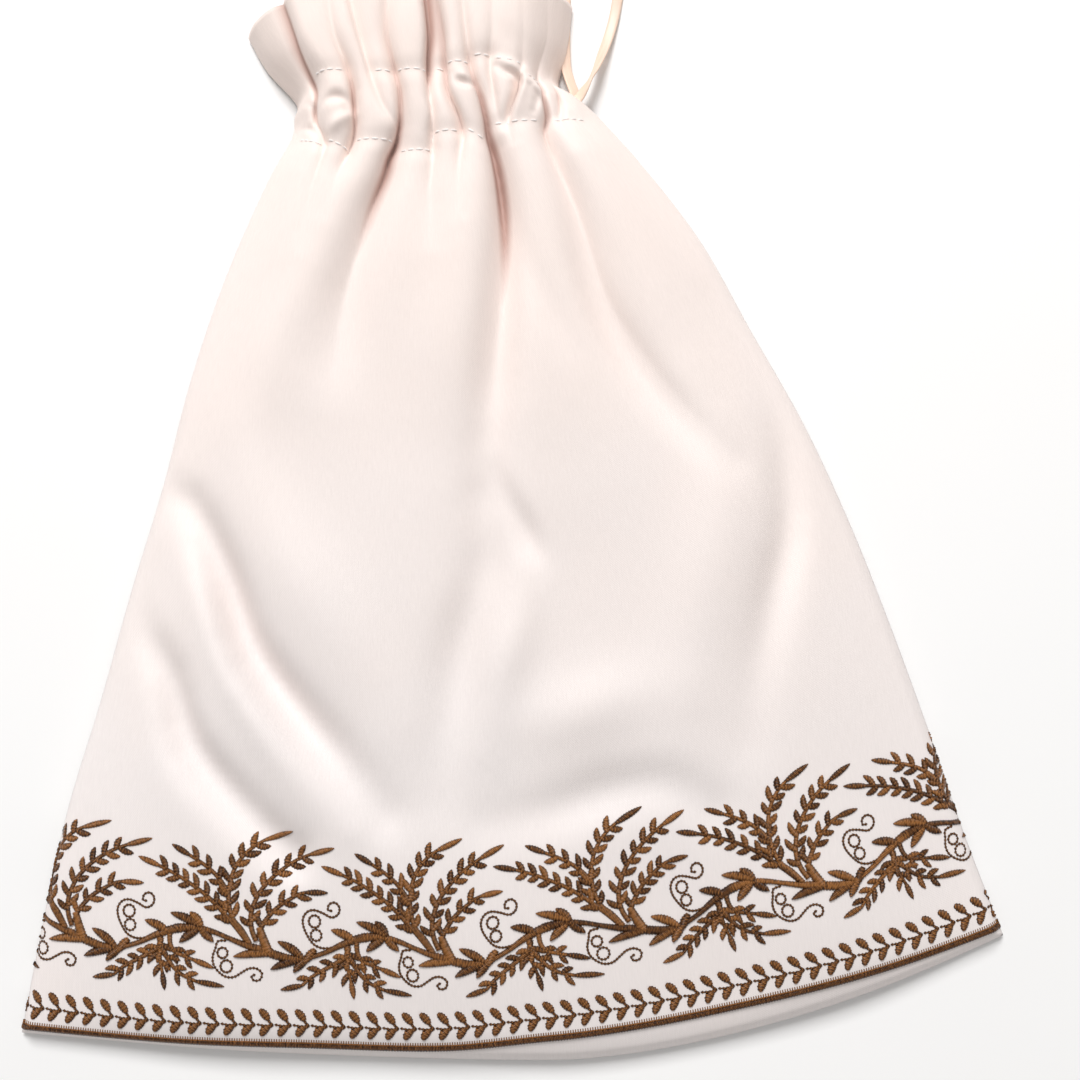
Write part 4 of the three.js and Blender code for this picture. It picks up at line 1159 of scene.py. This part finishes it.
class Socket:
    """An output of a shader node. Arithmetic on it adds Math nodes."""

    def __init__(self, finish, output):
        self.finish = finish
        self.output = output

    def maths(self, operation, *values):
        return self.finish.node("Math", dict(enumerate(values)), {"operation": operation})

    def __add__(self, other):
        return self.maths("ADD", self, other)

    def __sub__(self, other):
        return self.maths("SUBTRACT", self, other)

    def __mul__(self, other):
        return self.maths("MULTIPLY", self, other)

    __radd__ = __add__
    __rmul__ = __mul__

    def sine(self):
        return self.maths("SINE", self)


NOISE_LOW, NOISE_HIGH = 0.3, 0.7
WARP_PITCH, WEFT_PITCH = 0.30 * MM, 0.62 * MM
RIDGE_PITCH = 0.40 * MM        # the shader's thread ridges, finer than the strips' own
WARM_FROM, WARM_TO = 0.25, 0.95  # shares of the bag's length between which the satin turns warm
CREASE_SHADE_FROM, CREASE_SHADE_TO = 0.55, 1.05  # how deep in a crease the painted crease shade starts, and would be full
UNLIT, LIT = 0.46, 0.86        # the thread's relief value where its colour is all painted shade, and where all painted highlight
SHADER_NAMES = {
    "sheen": "Sheen Weight", "sheen_spread": "Sheen Roughness", "specular": "Specular IOR Level",
}


class Finish:
    """A material under way: its nodes, and the Principled shader that they feed."""

    def __init__(self, name, **constants):
        self.material = bpy.data.materials.new(name)
        self.material.use_nodes = True
        self.tree = self.material.node_tree
        self.shader = self.tree.nodes["Principled BSDF"]
        for key, value in constants.items():
            self.shader.inputs[SHADER_NAMES[key]].default_value = value

    def fill(self, node, key, value):
        if isinstance(value, Socket):
            self.tree.links.new(value.output, node.inputs[key])
        else:
            node.inputs[key].default_value = value

    def node(self, kind, inputs=None, settings=None, output=0):
        node = self.tree.nodes.new("ShaderNode" + kind)
        for key, value in (settings or {}).items():
            setattr(node, key, value)
        for key, value in (inputs or {}).items():
            self.fill(node, key, value)
        return Socket(self, node.outputs[output])

    def flat_place(self):
        """A point's place on the flat cloth or thread, in metres."""
        return self.node("UVMap", settings={"uv_map": "UVMap"})

    def part(self, place, axis):
        return self.node("SeparateXYZ", {0: place}, output=axis)

    def stored(self, name):
        """A number that the mesh holds for each of its points."""
        return self.node("Attribute", settings={"attribute_name": name}, output="Fac")

    def streaks(self, place, along, across):
        """Noise drawn out one way: how many spots a metre each way."""
        drawn = self.node("VectorMath", {0: place, 1: (along, across, 1)}, {"operation": "MULTIPLY"})
        return self.noise(drawn, 1.0, 2)

    def mix(self, factor, first, second):
        """One colour or the other."""
        return self.node(
            "Mix", {0: factor, 6: self.solid(first), 7: self.solid(second)}, {"data_type": "RGBA"}, output=2,
        )

    @staticmethod
    def solid(colour):
        return colour if isinstance(colour, Socket) else (*colour, 1)

    def noise(self, place, scale, detail):
        return self.node("TexNoise", {"Vector": place, "Scale": scale, "Detail": detail, "Roughness": 0.5})

    def range(self, value, low, high, to_low=0.0, to_high=1.0):
        return self.node("MapRange", {0: value, 1: low, 2: high, 3: to_low, 4: to_high})

    def spread(self, noise, least, most):
        """Noise, which lies mostly between these two shares, as a number from least to most."""
        return self.range(noise, NOISE_LOW, NOISE_HIGH, least, most)

    def bump(self, height, distance, strength):
        bump = self.node("Bump", {"Height": height, "Distance": distance, "Strength": strength})
        self.fill(self.shader, "Normal", bump)

    def done(self, colour, roughness):
        self.fill(self.shader, "Base Color", colour)
        self.fill(self.shader, "Roughness", roughness)
        return self.material


def satin_finish(colours, bag):
    """Soft blush satin: fine warp threads, a faint slub, warmer near the neck than near the hem, painted
    shade in the neck's creases.
    """
    finish = Finish("Blush satin", sheen=0.05, sheen_spread=0.4, specular=0.22)
    uv = finish.flat_place()
    where = finish.node("TexCoord", output="Object")
    up = finish.part(where, "Y")
    warm = finish.range(up, FRONT_LOW[1] + WARM_FROM * bag.full, FRONT_LOW[1] + WARM_TO * bag.full)
    cloudy = finish.noise(where, 22, 3)
    blush = finish.mix(warm + (cloudy - 0.5) * 0.5, tuple(colours.satin_cool), tuple(colours.satin_warm))
    # Painted shade: down in the held creases the satin turns to the crease shade colour.
    deep = finish.range(finish.stored("hollow"), CREASE_SHADE_FROM, CREASE_SHADE_TO)
    blush = finish.mix(deep, blush, tuple(colours.satin_crease_shade))
    warp = finish.part(uv, "X") * (2 * math.pi / WARP_PITCH)
    weft = finish.part(uv, "Y") * (2 * math.pi / WEFT_PITCH)
    slub = finish.streaks(uv, 2600, 260)
    weave = warp.sine() * 0.35 + (weft + warp * 0.5).sine() * 0.35 + slub * 1.6
    grain = finish.spread(slub, -0.02, 0.02)
    tone = finish.node("HueSaturation", {"Value": grain + 1.0, "Color": blush})
    finish.bump(weave, 0.05 * MM, 0.5)
    return finish.done(tone, finish.spread(cloudy, 0.44, 0.54))


def ribbon_finish(colours):
    """Peach ribbon: lengthwise threads and a brighter sheen than the bag's."""
    finish = Finish("Peach ribbon", sheen=0.2, sheen_spread=0.35, specular=0.45)
    uv = finish.flat_place()
    threads = finish.streaks(uv, 160, 3000)
    light = tuple(min(1, 1.06 * part) for part in colours.ribbon)
    dark = tuple(0.88 * part for part in colours.ribbon)
    finish.bump(threads, 0.06 * MM, 0.5)
    return finish.done(finish.mix(threads, dark, light), finish.spread(threads, 0.34, 0.46))


def embroidery_finish(colours):
    """Lustrous brown thread: a ridge for each thread across the strip, painted highlight on the ridges,
    painted shade between them and on the strips' rims.
    """
    finish = Finish("Brown embroidery thread", specular=0.28, sheen=0.0)
    uv = finish.flat_place()
    slanted = finish.part(uv, "X") + finish.part(uv, "Y") * 0.35
    ridges = (slanted * (2 * math.pi / RIDGE_PITCH)).sine()
    strands = finish.streaks(uv, 2400, 420)
    # Painted highlight and shade: lighter on each thread's ridge and on lighter-toned strips, dark between
    # ridges and on the rims.
    lit = finish.range(strands + ridges * 0.20 + finish.stored("shade") * 0.26, UNLIT, LIT)
    finish.bump(ridges * 0.6 + strands, 0.09 * MM, 0.8)
    colour = finish.mix(lit, tuple(colours.thread_dark), tuple(colours.thread_light))
    return finish.done(colour, finish.spread(strands, 0.22, 0.36))


def sewing_finish(colours):
    """Fine blush sewing thread with its twist."""
    finish = Finish("Blush sewing thread", specular=0.4, sheen=0.2)
    where = finish.node("TexCoord", output="Object")
    twist = finish.noise(where, 5200, 1)
    finish.bump(twist, 0.05 * MM, 0.6)
    dark = tuple(0.86 * part for part in colours.sewing)
    return finish.done(finish.mix(twist, dark, tuple(colours.sewing)), finish.spread(twist, 0.4, 0.55))


def floor_finish(colours):
    """A plain pale table."""
    finish = Finish("Pale table", specular=0.2)
    where = finish.node("TexCoord", output="Object")
    faint = finish.noise(where, 14, 2)
    near = tuple(0.985 * part for part in colours.floor)
    return finish.done(finish.mix(faint, near, tuple(colours.floor)), finish.spread(faint, 0.6, 0.7))


# Operators

CAMERA_X = 6.7 * MM
CAMERA_AIM_Y = -5.25 * MM
CAMERA_BACK = 27.65 * MM       # how far it stands back from above its aim
CAMERA_HEIGHT = 389.0 * MM
CAMERA_LENS, CAMERA_SENSOR = 50, 36  # in millimetres, as the camera takes them
TABLE_SIZE = 4
SKY_COLOUR = (1, 0.985, 0.97, 1)
# Area lights: where each stands from the camera's aim, in metres, and how wide it is.
LIGHTS = table("name power place size", [
    ("window", "key_power", (-0.30, 1.38, 1.50), 0.8), ("room", "fill_power", (0.6, -0.5, 1.3), 1.4),
])


class RETICULE_OT_stage(bpy.types.Operator):
    """Sets the table, the window's soft light and the camera above the bag"""
    bl_idname = "reticule.stage"
    bl_label = "Stage"

    def execute(self, context):
        settings = context.scene.reticule_stage
        deselect()
        bpy.ops.mesh.primitive_plane_add(size=TABLE_SIZE, location=(0, 0, 0))
        table_top = context.object
        table_top.name = "table_top"
        table_top.data.materials.append(floor_finish(context.scene.reticule_colours))
        aim = Vector((CAMERA_X, CAMERA_AIM_Y, 0))
        for row in LIGHTS:
            place = Vector(row["place"])
            bpy.ops.object.light_add(type="AREA", location=aim + place)
            light = context.object
            light.name = row["name"]
            light.data.energy = getattr(settings, row["power"])
            light.data.size = row["size"]
            light.rotation_euler = (-place).to_track_quat("-Z", "Y").to_euler()
        world = bpy.data.worlds.new("room")
        world.use_nodes = True
        background = world.node_tree.nodes["Background"]
        background.inputs["Color"].default_value = SKY_COLOUR
        background.inputs["Strength"].default_value = settings.sky
        context.scene.world = world
        context.scene.view_settings.view_transform = "Standard"
        spot = Vector((CAMERA_X, CAMERA_AIM_Y - CAMERA_BACK, CAMERA_HEIGHT))
        bpy.ops.object.camera_add(location=spot, rotation=(aim - spot).to_track_quat("-Z", "Y").to_euler())
        camera = context.object
        camera.name = "camera"
        camera.data.lens = CAMERA_LENS
        camera.data.sensor_width = CAMERA_SENSOR
        context.scene.camera = camera
        return {"FINISHED"}


class RETICULE_OT_ribbon(bpy.types.Operator):
    """Makes the drawstring's ribbon"""
    bl_idname = "reticule.ribbon"
    bl_label = "Ribbon"

    def execute(self, context):
        bag = Bag(context.scene.reticule_bag)
        ribbon = context.scene.reticule_ribbon
        piece, line = make_ribbon(bag, ribbon)
        finish_piece(piece, ribbon_finish(context.scene.reticule_colours), ["drawstring"])
        return {"FINISHED"}


class RETICULE_OT_cloths(bpy.types.Operator):
    """Makes the bag's front and back cloth"""
    bl_idname = "reticule.cloths"
    bl_label = "Cloths"

    def execute(self, context):
        sizes = context.scene.reticule_bag
        bag = Bag(sizes)
        satin = satin_finish(context.scene.reticule_colours, bag)
        for side in ("front", "back"):
            piece = finish_piece(make_cloth(bag, side), satin, [f"{side}_panel"])
        return {"FINISHED"}


class RETICULE_OT_border(bpy.types.Operator):
    """Embroiders the fern scroll, the sprigs and the brown line on both faces"""
    bl_idname = "reticule.border"
    bl_label = "Border"

    def execute(self, context):
        bag = Bag(context.scene.reticule_bag)
        brown = embroidery_finish(context.scene.reticule_colours)
        for side in ("front", "back"):
            sew_border(bag, context.scene.reticule_threads, side, brown)
        return {"FINISHED"}


class RETICULE_OT_stitches(bpy.types.Operator):
    """Sews the casing's two rows of machine stitches"""
    bl_idname = "reticule.stitches"
    bl_label = "Stitches"

    def execute(self, context):
        bag = Bag(context.scene.reticule_bag)
        piece = make_stitches(bag, context.scene.reticule_threads)
        finish_piece(piece, sewing_finish(context.scene.reticule_colours))
        return {"FINISHED"}


class RETICULE_PT_tools(bpy.types.Panel):
    bl_label = "Reticule"
    bl_idname = "RETICULE_PT_tools"
    bl_space_type = "VIEW_3D"
    bl_region_type = "UI"
    bl_category = "Reticule"

    def draw(self, context):
        for operator in OPERATORS:
            self.layout.operator(operator.bl_idname)
        for name in GROUPS:
            group = getattr(context.scene, name)
            box = self.layout.box()
            for key in group.__annotations__:
                box.prop(group, key)


GROUPS = {
    "reticule_bag": BagSizes,
    "reticule_threads": ThreadSizes,
    "reticule_ribbon": RibbonSizes,
    "reticule_colours": FinishColours,
    "reticule_stage": StageSettings,
}
OPERATORS = (
    RETICULE_OT_stage, RETICULE_OT_ribbon, RETICULE_OT_cloths, RETICULE_OT_border, RETICULE_OT_stitches,
)


def register():
    for item in (*GROUPS.values(), *OPERATORS, RETICULE_PT_tools):
        bpy.utils.register_class(item)
    for name, group in GROUPS.items():
        setattr(bpy.types.Scene, name, PointerProperty(type=group))


def unregister():
    for name in GROUPS:
        delattr(bpy.types.Scene, name)
    for item in (RETICULE_PT_tools, *reversed(OPERATORS), *reversed(GROUPS.values())):
        bpy.utils.unregister_class(item)


def main():
    register()
    bpy.ops.reticule.stage()
    bpy.ops.reticule.ribbon()
    bpy.ops.reticule.cloths()
    bpy.ops.reticule.border()
    bpy.ops.reticule.stitches()


if __name__ == "__main__":
    main()
